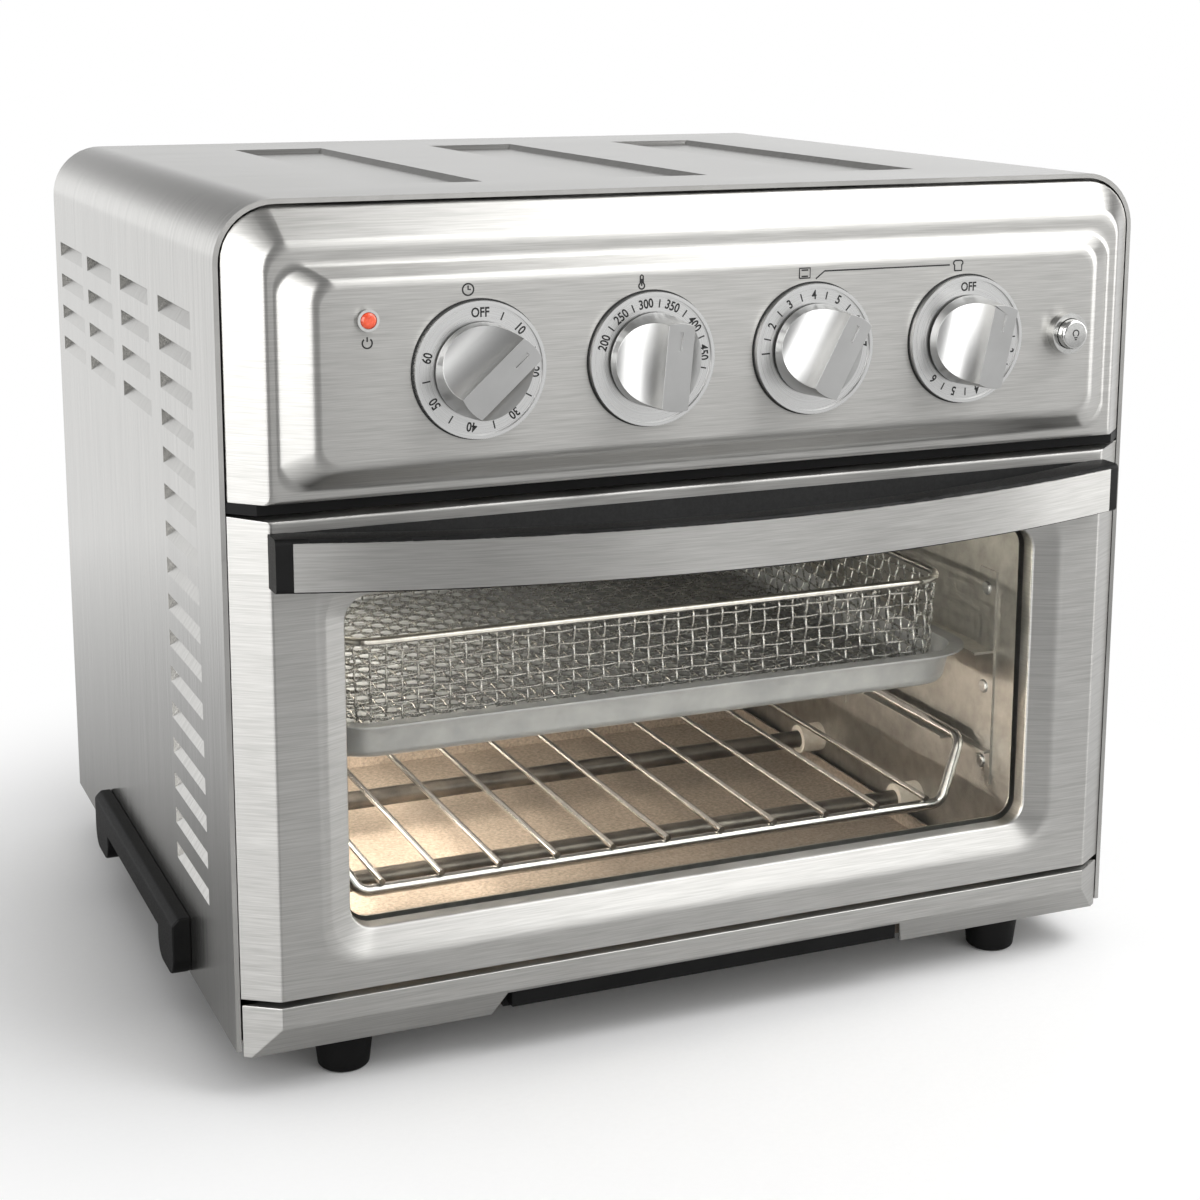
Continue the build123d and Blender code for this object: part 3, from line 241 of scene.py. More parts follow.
# Pressed steel cases of the control units: dull grey plate.
unitCase = grainedFinish("dullPlatedCase", {
    "toneMm": (10.0, 10.0, 10.0), "skinMm": (1.0, 1.0, 1.0), "dark": "#8d8d8b", "light": "#a5a5a2",
    "roughness": (0.4, 0.55), "bump": 0.15, "metallic": 0.9})
# Red pilot lens: tinted moulded acrylic, lit a little from behind.
pilotRed = grainedFinish("tintedAcrylic", {
    "toneMm": (2.2, 2.2, 2.2), "skinMm": (1.0, 1.0, 1.0), "dark": "#c8321a", "light": "#ee6a45",
    "roughness": (0.12, 0.2), "bump": 0.1, "metallic": 0.0,
    "extra": {"Emission Color": linear("#ff5a30"), "Emission Strength": 0.25, "Coat Weight": 0.5}})
# Screen-printed black ink: matt, slightly uneven in tone. It also draws painted shade round the dial plates.
blackInkAndShade = grainedFinish("screenPrintedInkAndShade", {
    "toneMm": (1.5, 1.5, 1.5), "skinMm": (0.6, 0.6, 0.6), "dark": "#161616", "light": "#232323",
    "roughness": (0.5, 0.62), "bump": 0.05, "metallic": 0.0})
spunDial = spunAluminium("spunAluminiumDial", dialLook)


# Toughened float glass: clear, with a thin film of haze from wiping. Lamp light passes straight through it.
def floatGlass(name, look):
    material, tree = startMaterial(name)
    place = put(tree, "TexCoord").outputs["Object"]
    hazePlace = put(tree, "Mapping", {"Vector": place, "Scale": perMetre(look["hazeMm"])}).outputs[0]
    haze = put(tree, "TexNoise", {"Vector": hazePlace, "Scale": 1.0, "Detail": 3.0}).outputs[0]
    low, high = look["roughness"]
    hazeLow, hazeHigh = look["hazeSpan"]
    rough = put(tree, "MapRange", {"Value": haze, "From Min": hazeLow, "From Max": hazeHigh, "To Min": low,
                                   "To Max": high})
    shader = put(tree, "BsdfPrincipled", {
        "Base Color": linear(look["tint"]), "Roughness": rough.outputs[0], "IOR": look["ior"],
        "Transmission Weight": 1.0, "Specular Tint": linear(look["gloss"])})
    clear = put(tree, "BsdfTransparent", {"Color": linear(look["tint"])}).outputs[0]
    shadow = put(tree, "LightPath").outputs["Is Shadow Ray"]
    finishMaterial(tree, put(tree, "MixShader", {0: shadow, 1: shader.outputs[0], 2: clear}).outputs[0])
    return material


glass = floatGlass("toughenedFloatGlass", {
    "hazeMm": (60.0, 60.0, 25.0), "hazeSpan": (0.35, 0.75), "roughness": (0.0, 0.02), "ior": 1.5,
    "tint": "#f4f6f4", "gloss": "#6a6a6a"})
print("materials:", len(bpy.data.materials))

slotFinish = {
    "dial_metal": spunDial, "bright_plating": plating, "plated_wire": plating, "woven_wire": wovenWire,
    "galvanised_sheet": galvanised, "enamelled_pan": enamel, "crumb_sheet": crumbSheet,
    "black_plastic": blackPlastic, "gland_plastic": rubber, "window_glass": glass, "pilot_red": pilotRed,
    "heater_sheath": heaterSheath, "ceramic": ceramic, "fastener_steel": fastener, "unit_case": unitCase,
    "brushed_stainless": frontSteel}
nodeFinish = {"outer_wrap": wrapSteel}
knobs = ["timer_knob", "thermostat_knob", "function_knob", "toast_knob"]
nodeFinish.update({knob: knobMetal for knob in knobs})


def dress(obj, material):
    obj.data.materials.clear()
    obj.data.materials.append(material)


edges = {"joinMm": 0.002, "flat": 0.5, "segments": 2, "sharp": 28}  # flat and sharp in degrees


# A CAD node's triangles are joined and shaded smooth across bends. Hard edges are split, or rounded if asked.
def soften(name, edgeMm, size):
    obj = nodes[name]
    obj.data.polygons.foreach_set("use_smooth", np.ones(len(obj.data.polygons), bool))
    weld = obj.modifiers.new("joinTriangles", "WELD")
    weld.merge_threshold = size["joinMm"] * mm
    if edgeMm:
        flat = obj.modifiers.new("joinFlats", "DECIMATE")
        flat.decimate_type = "DISSOLVE"
        flat.angle_limit = math.radians(size["flat"])
        edge = obj.modifiers.new("roundEdges", "BEVEL")
        edge.width = edgeMm * mm
        edge.segments = size["segments"]
        edge.limit_method = "ANGLE"
        edge.angle_limit = math.radians(size["sharp"])
        edge.use_clamp_overlap = True
        normals = obj.modifiers.new("flatNormals", "WEIGHTED_NORMAL")
        normals.keep_sharp = False
    else:
        split = obj.modifiers.new("hardEdges", "EDGE_SPLIT")
        split.split_angle = math.radians(size["sharp"])


slotOf = {part["node"]: part["material_slot"] for part in frame["record"]["subparts"]}
edgeRounds = {"crumb_tray_front": 0.5, "feet": 0.4, "side_grip_left": 0.8, "side_grip_right": 0.8}
edgeRounds.update({knob: 0.4 for knob in knobs})
for name, obj in nodes.items():
    dress(obj, nodeFinish.get(name) or slotFinish[slotOf[name]])
    soften(name, edgeRounds.get(name, 0.0), edges)
print("nodes dressed")


def addPiece(name, points, faces, material, body, slot, smooth=True):
    # one mesh object at the origin, its place in its points
    mesh = bpy.data.meshes.new(name)
    mesh.from_pydata(points.reshape(-1, 3).tolist(), [], faces if isinstance(faces, list) else faces.tolist())
    mesh.polygons.foreach_set("use_smooth", np.full(len(mesh.polygons), smooth))
    mesh.update()
    obj = bpy.data.objects.new(name, mesh)
    scene.collection.objects.link(obj)
    mesh.materials.append(material)
    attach(obj, body)
    return obj


def gridFaces(rows, columns, closed):
    # quads of a rows x columns grid; closed joins the last column to the first
    strips = columns if closed else columns - 1
    row, column = np.meshgrid(np.arange(rows - 1), np.arange(strips), indexing="ij")
    here, right = row * columns + column, row * columns + (column + 1) % columns
    return np.stack([here, right, right + columns, here + columns], -1).reshape(-1, 4)


# Pressed panels: a rounded outline carried through levels from the rim to the front.
# Each level is (half width, low, high, lower corner, upper corner, y) in mm. Every fold between two levels is
# a short curve whose ends lie a given distance from it on both sides: (1-t)^2 P + 2t(1-t) Q + t^2 R.
mostFold = 0.45  # a fold takes up at most this share of the side next to it


def foldedLevels(levels, folds, steps=7):
    levels = np.array(levels, float)
    away = np.diff(levels[:, [0, 2, 5]], axis=0)
    length = np.linalg.norm(away, axis=1)
    t = np.linspace(0, 1, steps)[:, None]
    out = [levels[:1]]
    for at, fold in enumerate(folds, 1):
        back = levels[at] + (levels[at - 1] - levels[at]) * min(mostFold, fold / length[at - 1])
        ahead = levels[at] + (levels[at + 1] - levels[at]) * min(mostFold, fold / length[at])
        out.append((1 - t) ** 2 * back + 2 * t * (1 - t) * levels[at] + t ** 2 * ahead)
    return np.concatenate(out + [levels[-1:]])


def roundedLoops(levels, cuts=(), cornerSteps=9):
    # points round each level, anticlockwise seen from the front: corner centre + radius * (cos, sin), and
    # then the edges of slots in the bottom wall, each (x in mm, most share of the straight run)
    turn = np.radians(np.arange(-90, 270, 90)[:, None] + np.linspace(0, 90, cornerSteps)[None, :])
    half, low, high, lowRound, highRound, y = levels.T[:, :, None, None]
    side = np.array([1, 1, -1, -1])[None, :, None]
    top = np.array([0, 1, 1, 0])[None, :, None]
    radius = np.where(top > 0, highRound, lowRound)
    x = side * (half - radius) + radius * np.cos(turn)
    z = np.where(top > 0, high - radius, low + radius) + radius * np.sin(turn)
    loops = np.stack([x, np.broadcast_to(y, x.shape), z], -1).reshape(len(levels), -1, 3)
    if len(cuts):
        edge, share = np.array(cuts).T
        reach = np.minimum(edge, share * (levels[:, :1] - levels[:, 3:4]))
        x = np.concatenate([-reach[:, ::-1], reach], 1)
        wall = [x, np.broadcast_to(levels[:, 5:6], x.shape), np.broadcast_to(levels[:, 1:2], x.shape)]
        loops = np.concatenate([loops, np.stack(wall, -1)], 1)
    return loops * mm


def pressedPanel(name, levels, folds, capped, sheetMm, material, body, slot, node, cuts=()):
    loops = roundedLoops(foldedLevels(levels, folds), cuts)
    rows, columns = loops.shape[:2]
    faces = gridFaces(rows, columns, True)
    if len(cuts):
        faces = np.delete(faces, [columns - 4, columns - 2], 0)  # the slots, open to the rear edge
    faces = faces.tolist()
    if capped:
        faces.append(list(range((rows - 1) * columns, rows * columns)))
    obj = addPiece(name, loops, faces, material, body, slot)
    wall = obj.modifiers.new("sheet", "SOLIDIFY")
    wall.thickness = sheetMm * mm
    wall.offset = -1.0
    normals = obj.modifiers.new("flatNormals", "WEIGHTED_NORMAL")
    normals.keep_sharp = False
    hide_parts(node)


frontMm = frontEdge / mm
fascia = {"half": 200.6, "bottom": 242.0, "top": 351.8, "bevel": 12.5, "bevelWidth": 13.0, "ledgeSide": 5.0,
          "ledgeTop": 7.5, "foot": 5.0, "rise": 8.0, "slopeSide": 11.5, "slopeTop": 6.0, "slopeLow": 7.7,
          "rear": 9.8, "sharp": 0.3, "wrapRound": 20.0, "ledgeRound": 10.0, "footRound": 11.0,
          "fieldRound": 9.0, "flatInset": 9.0, "flatRound": 4.0, "folds": (1.6, 3.5, 2.6, 4.0), "sheet": 0.8}


def fasciaLevels(size):
    ledge, ledgeTop = size["half"] - size["bevelWidth"], size["top"] - size["bevelWidth"]
    foot, footTop = ledge - size["ledgeSide"], ledgeTop - size["ledgeTop"]
    footLow = size["bottom"] + size["foot"]
    ledgeY = frontMm - size["bevel"]
    fieldY = ledgeY - size["rise"]
    field, fieldTop = foot - size["slopeSide"], footTop - size["slopeTop"]
    fieldLow = footLow + size["slopeLow"]
    sharp, inset = size["sharp"], size["flatInset"]
    rim = (size["half"], size["bottom"], size["top"], sharp, size["wrapRound"])
    return [(*rim, frontMm + size["rear"]),
            (*rim, frontMm),
            (ledge, size["bottom"], ledgeTop, sharp, size["ledgeRound"], ledgeY),
            (foot, footLow, footTop, size["footRound"], size["footRound"], ledgeY),
            (field, fieldLow, fieldTop, size["fieldRound"], size["fieldRound"], fieldY),
            (field - inset, fieldLow + inset, fieldTop - inset, size["flatRound"], size["flatRound"], fieldY)]


pressedPanel("controlFascia", fasciaLevels(fascia), fascia["folds"], True, fascia["sheet"], frontSteel,
             "cabinet", "brushed_stainless", "control_fascia")

door = {"half": 200.6, "bottom": 42.5, "top": 236.6, "thickness": 9.5, "bevelWidth": 14.0, "topRoll": 1.6,
        "windowHalf": 156.5, "windowLow": 65.5, "windowHigh": 201.9, "windowRound": 10.0, "dish": 11.0,
        "dishDepth": 5.5, "dishRound": 18.0, "glassAt": 3.0, "glassGap": 0.1, "sharp": 0.3,
        "folds": (1.6, 4.0, 1.2), "sheet": 0.8, "hingeSlots": ((175.0, 0.95), (181.0, 0.98))}


def doorLevels(size):
    face = size["half"] - size["bevelWidth"]
    faceY = frontMm - size["thickness"]
    mouth, dish, sharp = size["windowHalf"] + size["dish"], size["dish"], size["sharp"]
    lip = (size["windowHalf"], size["windowLow"], size["windowHigh"], size["windowRound"],
           size["windowRound"])
    return [(size["half"], size["bottom"], size["top"], sharp, sharp, frontMm),
            (face, size["bottom"], size["top"] - size["topRoll"], sharp, sharp, faceY),
            (mouth, size["windowLow"] - dish, size["windowHigh"] + dish, size["dishRound"], size["dishRound"],
             faceY),
            (*lip, faceY + size["dishDepth"]),
            (*lip, frontMm + size["glassAt"] - size["glassGap"])]


pressedPanel("doorSkin", doorLevels(door), door["folds"], False, door["sheet"], frontSteel,
             "door", "brushed_stainless", "door_skin", door["hingeSlots"])
print("pressed panels made")


# Tubes: a ring of points carried along each path, path + radius * (cos * outward + sin * sideways),
# drawn to a point at both ends so that no wire is left open.
def tubes(paths, outward, radius, sides, closed=False):
    count, steps = paths.shape[:2]
    along = np.roll(paths, -1, 1) - np.roll(paths, 1, 1) if closed else np.gradient(paths, axis=1)
    along /= np.linalg.norm(along, axis=2, keepdims=True)
    sideways = np.cross(along, outward)
    sideways /= np.linalg.norm(sideways, axis=2, keepdims=True)
    outward = np.cross(sideways, along)
    turn = np.linspace(0, 2 * np.pi, sides, endpoint=False)
    width = np.full((1, steps, 1, 1), radius)
    if not closed:
        width[:, [0, -1]] = 0.0
    cosine, sine = np.cos(turn)[None, None, :, None], np.sin(turn)[None, None, :, None]
    ring = cosine * outward[:, :, None] + sine * sideways[:, :, None]
    points = paths[:, :, None] + width * ring
    quads = gridFaces(steps, sides, True)
    if closed:
        last = np.arange(sides) + (steps - 1) * sides
        after = np.roll(last, -1)
        quads = np.concatenate([quads, np.stack([last, after, after % sides, last % sides], -1)])
    faces = (quads[None] + (np.arange(count) * steps * sides)[:, None, None]).reshape(-1, 4)
    return points.reshape(-1, 3), faces


# Woven basket: crimped wires over and under each other. A wire's crimp is half its thickness times
# cos(pi * place / pitch), and the next wire starts on the other side.
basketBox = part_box("basket_mesh")
weave = {"pitchRound": 7.0, "pitchUp": 5.8, "wire": 0.55, "crimp": 0.55, "sides": 5, "corner": 18.0,
         "draft": 2.0, "perCross": 4}


def basketLoop(share, size):
    # places round the basket's top edge, outward directions there and the length round, in mm, for shares 0 to 1
    half = (basketBox[1].x - basketBox[0].x) / 2 / mm - size["wire"]
    deep = (basketBox[1].y - basketBox[0].y) / 2 / mm - size["wire"]
    r = size["corner"]
    runs = np.array([2 * (deep - r), np.pi * r / 2, 2 * (half - r), np.pi * r / 2] * 2)
    ends = np.concatenate([[0], np.cumsum(runs)])
    s = (share % 1.0) * ends[-1]
    part = np.clip(np.searchsorted(ends, s, side="right") - 1, 0, 7)
    into = (s - ends[part]) / runs[part]
    quarter = part // 2
    bend = np.where(part % 2 == 1, into, 0.0)
    angle = (quarter + bend) * np.pi / 2
    straight = np.where(part % 2 == 0, into, 1.0)
    cornerX = np.array([half - r, -half + r, -half + r, half - r])[quarter]
    cornerY = np.array([deep - r, deep - r, -deep + r, -deep + r])[quarter]
    fromX = np.array([half - r, half - r, -half + r, -half + r])[quarter]
    fromY = np.array([-deep + r, deep - r, deep - r, -deep + r])[quarter]
    x = np.where(part % 2 == 0, fromX + (cornerX - fromX) * straight, cornerX) + r * np.cos(angle)
    y = np.where(part % 2 == 0, fromY + (cornerY - fromY) * straight, cornerY) + r * np.sin(angle)
    return np.stack([x, y], -1), np.stack([np.cos(angle), np.sin(angle)], -1), ends[-1]


def wallPoints(share, rise, lift, size):
    # a point on the basket's wall: the loop drawn in by the draft towards the bottom, pushed out by lift
    loop, outward, _ = basketLoop(share, size)
    inset = size["draft"] * (1 - rise)
    middle = (basketBox[1].y + basketBox[0].y) / 2 / mm
    low, high = basketBox[0].z / mm + size["wire"], basketBox[1].z / mm
    flat = loop + outward * (lift - inset - size["wire"])[..., None]
    z = low + rise * (high - low)
    points = np.stack([flat[..., 0], flat[..., 1] + middle, z], -1) * mm
    return points, np.concatenate([outward, np.zeros_like(z)[..., None]], -1)


def wovenWalls(size):
    high = (basketBox[1].z - basketBox[0].z) / mm
    around = basketLoop(np.zeros(1), size)[2]
    uprights = int(around / size["pitchRound"] / 2) * 2
    rows = int(round(high / size["pitchUp"]))
    # wires that run round
    steps = uprights * size["perCross"]
    share = np.broadcast_to(np.arange(steps) / steps, (rows, steps))
    rise = np.broadcast_to(((np.arange(rows) + 0.5) / rows)[:, None], (rows, steps))
    sign = np.where(np.arange(rows) % 2 == 0, 1, -1)[:, None]
    lift = size["crimp"] * sign * np.cos(np.pi * share * uprights)
    points, outward = wallPoints(share, rise, lift, size)
    roundPoints, roundFaces = tubes(points, outward, size["wire"] * mm, size["sides"], closed=True)
    # wires that stand
    steps = rows * size["perCross"] + 1
    share = np.broadcast_to((np.arange(uprights) / uprights)[:, None], (uprights, steps))
    rise = np.broadcast_to(np.linspace(0, 1, steps), (uprights, steps))
    sign = np.where(np.arange(uprights) % 2 == 0, -1, 1)[:, None]
    lift = size["crimp"] * sign * np.cos(np.pi * (rise * rows - 0.5))
    points, outward = wallPoints(share, rise, lift, size)
    upPoints, upFaces = tubes(points, outward, size["wire"] * mm, size["sides"])
    return np.concatenate([roundPoints, upPoints]), np.concatenate([roundFaces, upFaces + len(roundPoints)])


def wovenBottom(size):
    # straight crimped wires both ways, cut to the rounded outline of the bottom
    half = (basketBox[1].x - basketBox[0].x) / 2 / mm - size["draft"] - 2 * size["wire"]
    deep = (basketBox[1].y - basketBox[0].y) / 2 / mm - size["draft"] - 2 * size["wire"]
    middle = (basketBox[1].y + basketBox[0].y) / 2 / mm
    z = basketBox[0].z / mm + 2 * size["wire"]
    made = []
    for long, wide, turned in ((half, deep, False), (deep, half, True)):
        count = int(2 * wide / size["pitchRound"])
        crosses = int(2 * long / size["pitchRound"])
        place = (np.arange(count) + 0.5) / count * 2 * wide - wide
        corner = np.maximum(np.abs(place) - (wide - size["corner"]), 0)
        reach = long - size["corner"] + np.sqrt(size["corner"] ** 2 - corner ** 2)
        steps = crosses * size["perCross"] + 1
        run = np.linspace(-1, 1, steps)[None] * reach[:, None]
        sign = np.where(np.arange(count) % 2 == 0, 1, -1)[:, None] * (-1 if turned else 1)
        lift = z + size["crimp"] * sign * np.cos(np.pi * (run / (2 * long) * crosses))
        side = np.broadcast_to(place[:, None], run.shape)
        x, y = (side, run) if turned else (run, side)
        paths = np.stack([x, y + middle, lift], -1) * mm
        outward = np.broadcast_to(np.array([0.0, 0.0, 1.0]), paths.shape)
        made.append(tubes(paths, outward, size["wire"] * mm, size["sides"]))
    (first, firstFaces), (second, secondFaces) = made
    return np.concatenate([first, second]), np.concatenate([firstFaces, secondFaces + len(first)])


basketWalls = addPiece("basketWalls", *wovenWalls(weave), wovenWire, "basket", "woven_wire")
basketBottom = addPiece("basketBottom", *wovenBottom(weave), wovenWire, "basket", "woven_wire")
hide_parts("basket_mesh")
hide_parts("basket_mesh")
print("basket woven:", len(basketWalls.data.polygons), "+", len(basketBottom.data.polygons), "quads")


# Printing: flat shapes in a dial's own (right, up) millimetres, put on a plane across the oven.
lettering = {"size": 1.42, "bold": 0.034, "narrow": 0.82, "steps": 3}  # size and bold as shares of the height


def glyphs(words, heightMm, look):
    # outlines of a word as flat faces, centred on its own middle
    curve = bpy.data.curves.new("word", "FONT")
    curve.body, curve.align_x, curve.align_y = words, "CENTER", "CENTER"
    curve.size, curve.offset = heightMm * look["size"], heightMm * look["bold"]
    curve.resolution_u = look["steps"]
    obj = bpy.data.objects.new("word", curve)
    scene.collection.objects.link(obj)
    mesh = bpy.data.meshes.new_from_object(obj.evaluated_get(bpy.context.evaluated_depsgraph_get()))
    points = np.zeros(len(mesh.vertices) * 3)
    mesh.vertices.foreach_get("co", points)
    faces = [list(face.vertices) for face in mesh.polygons]
    bpy.data.objects.remove(obj)
    bpy.data.curves.remove(curve)
    bpy.data.meshes.remove(mesh)
    flat = points.reshape(-1, 3)[:, :2]
    middle = (flat.max(0) + flat.min(0)) / 2
    return (flat - middle) * np.array([look["narrow"], 1.0]), faces


def stroke(path, width):
    # a ribbon of constant width along a path: path +- width / 2 * its left normal
    path = np.array(path, float)
    along = np.gradient(path, axis=0)
    along /= np.linalg.norm(along, axis=1, keepdims=True)
    left = np.stack([-along[:, 1], along[:, 0]], -1) * width / 2
    points = np.stack([path - left, path + left], 1).reshape(-1, 2)
    return points, gridFaces(len(path), 2, False)[:, ::-1].tolist()


def arc(radius, start, end, steps=25, centre=(0, 0)):
    turn = np.radians(np.linspace(start, end, steps))
    return np.stack([centre[0] + radius * np.sin(turn), centre[1] + radius * np.cos(turn)], -1)


def turned(shape, angle, radius):
    # a shape moved out from the dial's middle and turned clockwise with its place
    points, faces = shape
    a = math.radians(angle)
    right, up = (points + np.array([0, radius])).T
    spun = np.stack([right * math.cos(a) + up * math.sin(a), up * math.cos(a) - right * math.sin(a)], -1)
    return spun, faces


def moved(shape, right, up):
    return shape[0] + np.array([right, up]), shape[1]


def printOn(name, shapes, y, body):
    # all shapes of one print in one flat piece that faces the front
    points, faces, start = [], [], 0
    for flat, quads in shapes:
        points.append(np.stack([flat[:, 0] * mm, np.full(len(flat), y), flat[:, 1] * mm], -1))
        faces += [[start + index for index in face] for face in quads]
        start += len(flat)
    addPiece(name, np.concatenate(points), faces, blackInkAndShade, body, "black_plastic", smooth=False)


printing = {"numberHeight": 3.6, "numberRadius": 22.0, "tick": (20.3, 23.5), "tickWidth": 0.55, "lift": 0.05}
plateFace = dialFace + fascia["sheet"] * mm  # the rim stands this much in front of the plate


def ring(labels, ticks, look):
    height, radius = look["numberHeight"], look["numberRadius"]
    shapes = [turned(glyphs(word, height, lettering), angle, radius) for angle, word in labels]
    near, far = look["tick"]
    tick = stroke([(0, near), (0, far)], look["tickWidth"])
    return shapes + [turned(tick, angle, 0) for angle in ticks]


minute = 285 / 60  # the timer's degrees for one minute
modeStart, toastStart, dialStep = -92, 75, 30  # degrees to a dial's first number, and from one to the next
timerLabels = [(0, "OFF")] + [(minute * m, str(m)) for m in range(10, 61, 10)]
timerTicks = [minute * m for m in range(5, 60, 10)]
heatLabels = [(-70, "200"), (-38, "250"), (-8, "300"), (22, "350"), (54, "400"), (86, "450")]
heatTicks = [-54, -23, 7, 38, 70, 102]
modeLabels = [(modeStart + dialStep * step, str(step + 1)) for step in range(7)]
modeTicks = [modeStart + dialStep * (step + 0.5) for step in range(6)]
toastLabels = [(0, "OFF")] + [(toastStart + dialStep * step, str(step + 1)) for step in range(6)]
toastTicks = [toastStart + dialStep * (step + 0.5) for step in range(5)]
dialMarks = []
for x, labels, ticks in zip(dialXs, (timerLabels, heatLabels, modeLabels, toastLabels),
                            (timerTicks, heatTicks, modeTicks, toastTicks)):
    dialMarks += [moved(shape, x / mm, dialZ / mm) for shape in ring(labels, ticks, printing)]
printOn("dialPrinting", dialMarks, plateFace - printing["lift"] * mm, "cabinet")
print("dials printed:", len(dialMarks), "marks")

# A black rounded rectangle drawn on the door's face behind the handle
darkPatch = {"half": 184.0, "low": 214.5, "high": 230.5, "round": 4.0}
darkPatchLevel = [darkPatch["half"], darkPatch["low"], darkPatch["high"], darkPatch["round"], darkPatch["round"], 0.0]
darkPatchLoop = roundedLoops(np.array([darkPatchLevel]))[0][:, [0, 2]] / mm
printOn("handleDarkPatch", [(darkPatchLoop, [list(range(len(darkPatchLoop)))])],
        frontEdge - (door["thickness"] + printing["lift"]) * mm, "door")

# Small plain signs on the panel and the button: clock, thermometer, oven, slice, bulb, power
# and rings of painted shade round the dial plates, for the gap between plate and panel
signs = {"width": 0.6, "buttonWidth": 0.5, "above": 30.5, "left": 4.0, "belowPilot": 4.5, "shadeRingGap": 0.35,
         "shadeRingWidth": 0.7, "lineFrom": 1.0, "lineBend": 5.0, "lineDrop": 3.0, "lineEnd": 8.0,
         "lineAbove": 0.5}


def clockSign(w):
    return [stroke(arc(2.2, 0, 360, 33), w), stroke([(0, 1.5), (0, 0), (1.1, 0)], w)]


def thermometerSign(w):
    stem = [(-0.6, -0.9), (-0.6, 2.0), (0, 2.4), (0.6, 2.0), (0.6, -0.9)]
    return [stroke(stem, w), stroke(arc(1.2, -30, -330, 25, (0, -1.9)), w), stroke([(0, -1.9), (0, 0.9)], w)]


def ovenSign(w):
    case = [(-2.4, -2.0), (-2.4, 2.0), (2.4, 2.0), (2.4, -2.0), (-2.4, -2.0)]
    return [stroke(case, w), stroke([(-1.5, 1.2), (1.5, 1.2)], w), stroke([(-1.5, -1.3), (1.5, -1.3)], w)]


def sliceSign(w):
    crust = np.concatenate([[(-1.7, -2.0), (-1.7, 0.4)], arc(1.1, -120, 0, 9, (-1.1, 1.1)),
                            arc(1.1, 0, 120, 9, (1.1, 1.1)), [(1.7, 0.4), (1.7, -2.0), (-1.7, -2.0)]])
    return [stroke(crust, w)]


def bulbSign(w):
    return [stroke(arc(1.4, -145, 145, 21, (0, 0.6)), w), stroke([(-0.8, -1.2), (0.8, -1.2)], w),
            stroke([(-0.5, -2.0), (0.5, -2.0)], w)]


def powerSign(w):
    return [stroke(arc(1.9, 40, 320, 29), w), stroke([(0, 0.5), (0, 2.3)], w)]


fieldFace = frontEdge - (fascia["bevel"] + fascia["rise"]) * mm
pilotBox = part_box("pilot_lens")
signAndShadeMarks = []
for x, sign in zip(dialXs, (clockSign, thermometerSign, ovenSign, sliceSign)):
    signX, signZ = x / mm - signs["left"], dialZ / mm + signs["above"]
    signAndShadeMarks += [moved(shape, signX, signZ) for shape in sign(signs["width"])]
pilotX = (pilotBox[0].x + pilotBox[1].x) / 2 / mm
pilotSignZ = pilotBox[0].z / mm - signs["belowPilot"]
signAndShadeMarks += [moved(shape, pilotX, pilotSignZ) for shape in powerSign(signs["width"])]
# a ring of painted shade round each dial plate, and a line from the third dial's sign to the fourth's
plateShadeRing = stroke(arc(dialRadius / mm + signs["shadeRingGap"], 0, 360, 97), signs["shadeRingWidth"])
signAndShadeMarks += [moved(plateShadeRing, x / mm, dialZ / mm) for x in dialXs]
fromX, toX = dialXs[2] / mm, dialXs[3] / mm - signs["lineEnd"]
lineZ = dialZ / mm + signs["above"] + signs["lineAbove"]
linePath = [(fromX + signs["lineFrom"], lineZ - signs["lineDrop"]), (fromX + signs["lineBend"], lineZ),
            (toX, lineZ)]
signAndShadeMarks.append(stroke(linePath, signs["width"]))
printOn("panelPrintAndShade", signAndShadeMarks, fieldFace - printing["lift"] * mm, "cabinet")
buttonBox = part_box("light_button")
buttonX = (buttonBox[0].x + buttonBox[1].x) / 2 / mm
buttonMarks = [moved(shape, buttonX, dialZ / mm) for shape in bulbSign(signs["buttonWidth"])]
printOn("buttonPrinting", buttonMarks, buttonBox[0].y - printing["lift"] * mm, "lamp_button")
print("panel printed:", len(signAndShadeMarks), "marks")

# Studio: pale floor, bright horizon, two soft boxes and two cards. Each shade is a dim spot of the floor that
# the camera doesn't see: its middle, how far from there its dimming starts and ends, and its levels there.
studio = {"floor": 16.0, "near": 0.2, "far": 0.46, "paper": ("#f7f7f7", "#fbfbfb"), "fibreMm": 2.5,
          "front": 0.35, "rear": 0.3, "turn": (-0.2, 0.4), "horizon": 1.2, "rise": (0.09, 0.24), "fill": 0.58,
          "shades": (((0.1, -0.7, 0.0), (0.15, 1.1), (0.56, 1.02)),
                     ((-0.25, 0.2, 0.0), (0.15, 0.65), (0.55, 1.0)),
                     ((-0.35, -1.1, 0.0), (0.12, 0.5), (0.3, 1.0)),
                     ((0.52, -0.66, 0.0), (0.06, 0.34), (0.6, 1.0)),
                     ((-0.5, -2.1, 0.0), (0.4, 0.9), (0.2, 1.0)),
                     ((1.05, -1.4, 0.0), (0.25, 0.6), (0.55, 1.0)))}


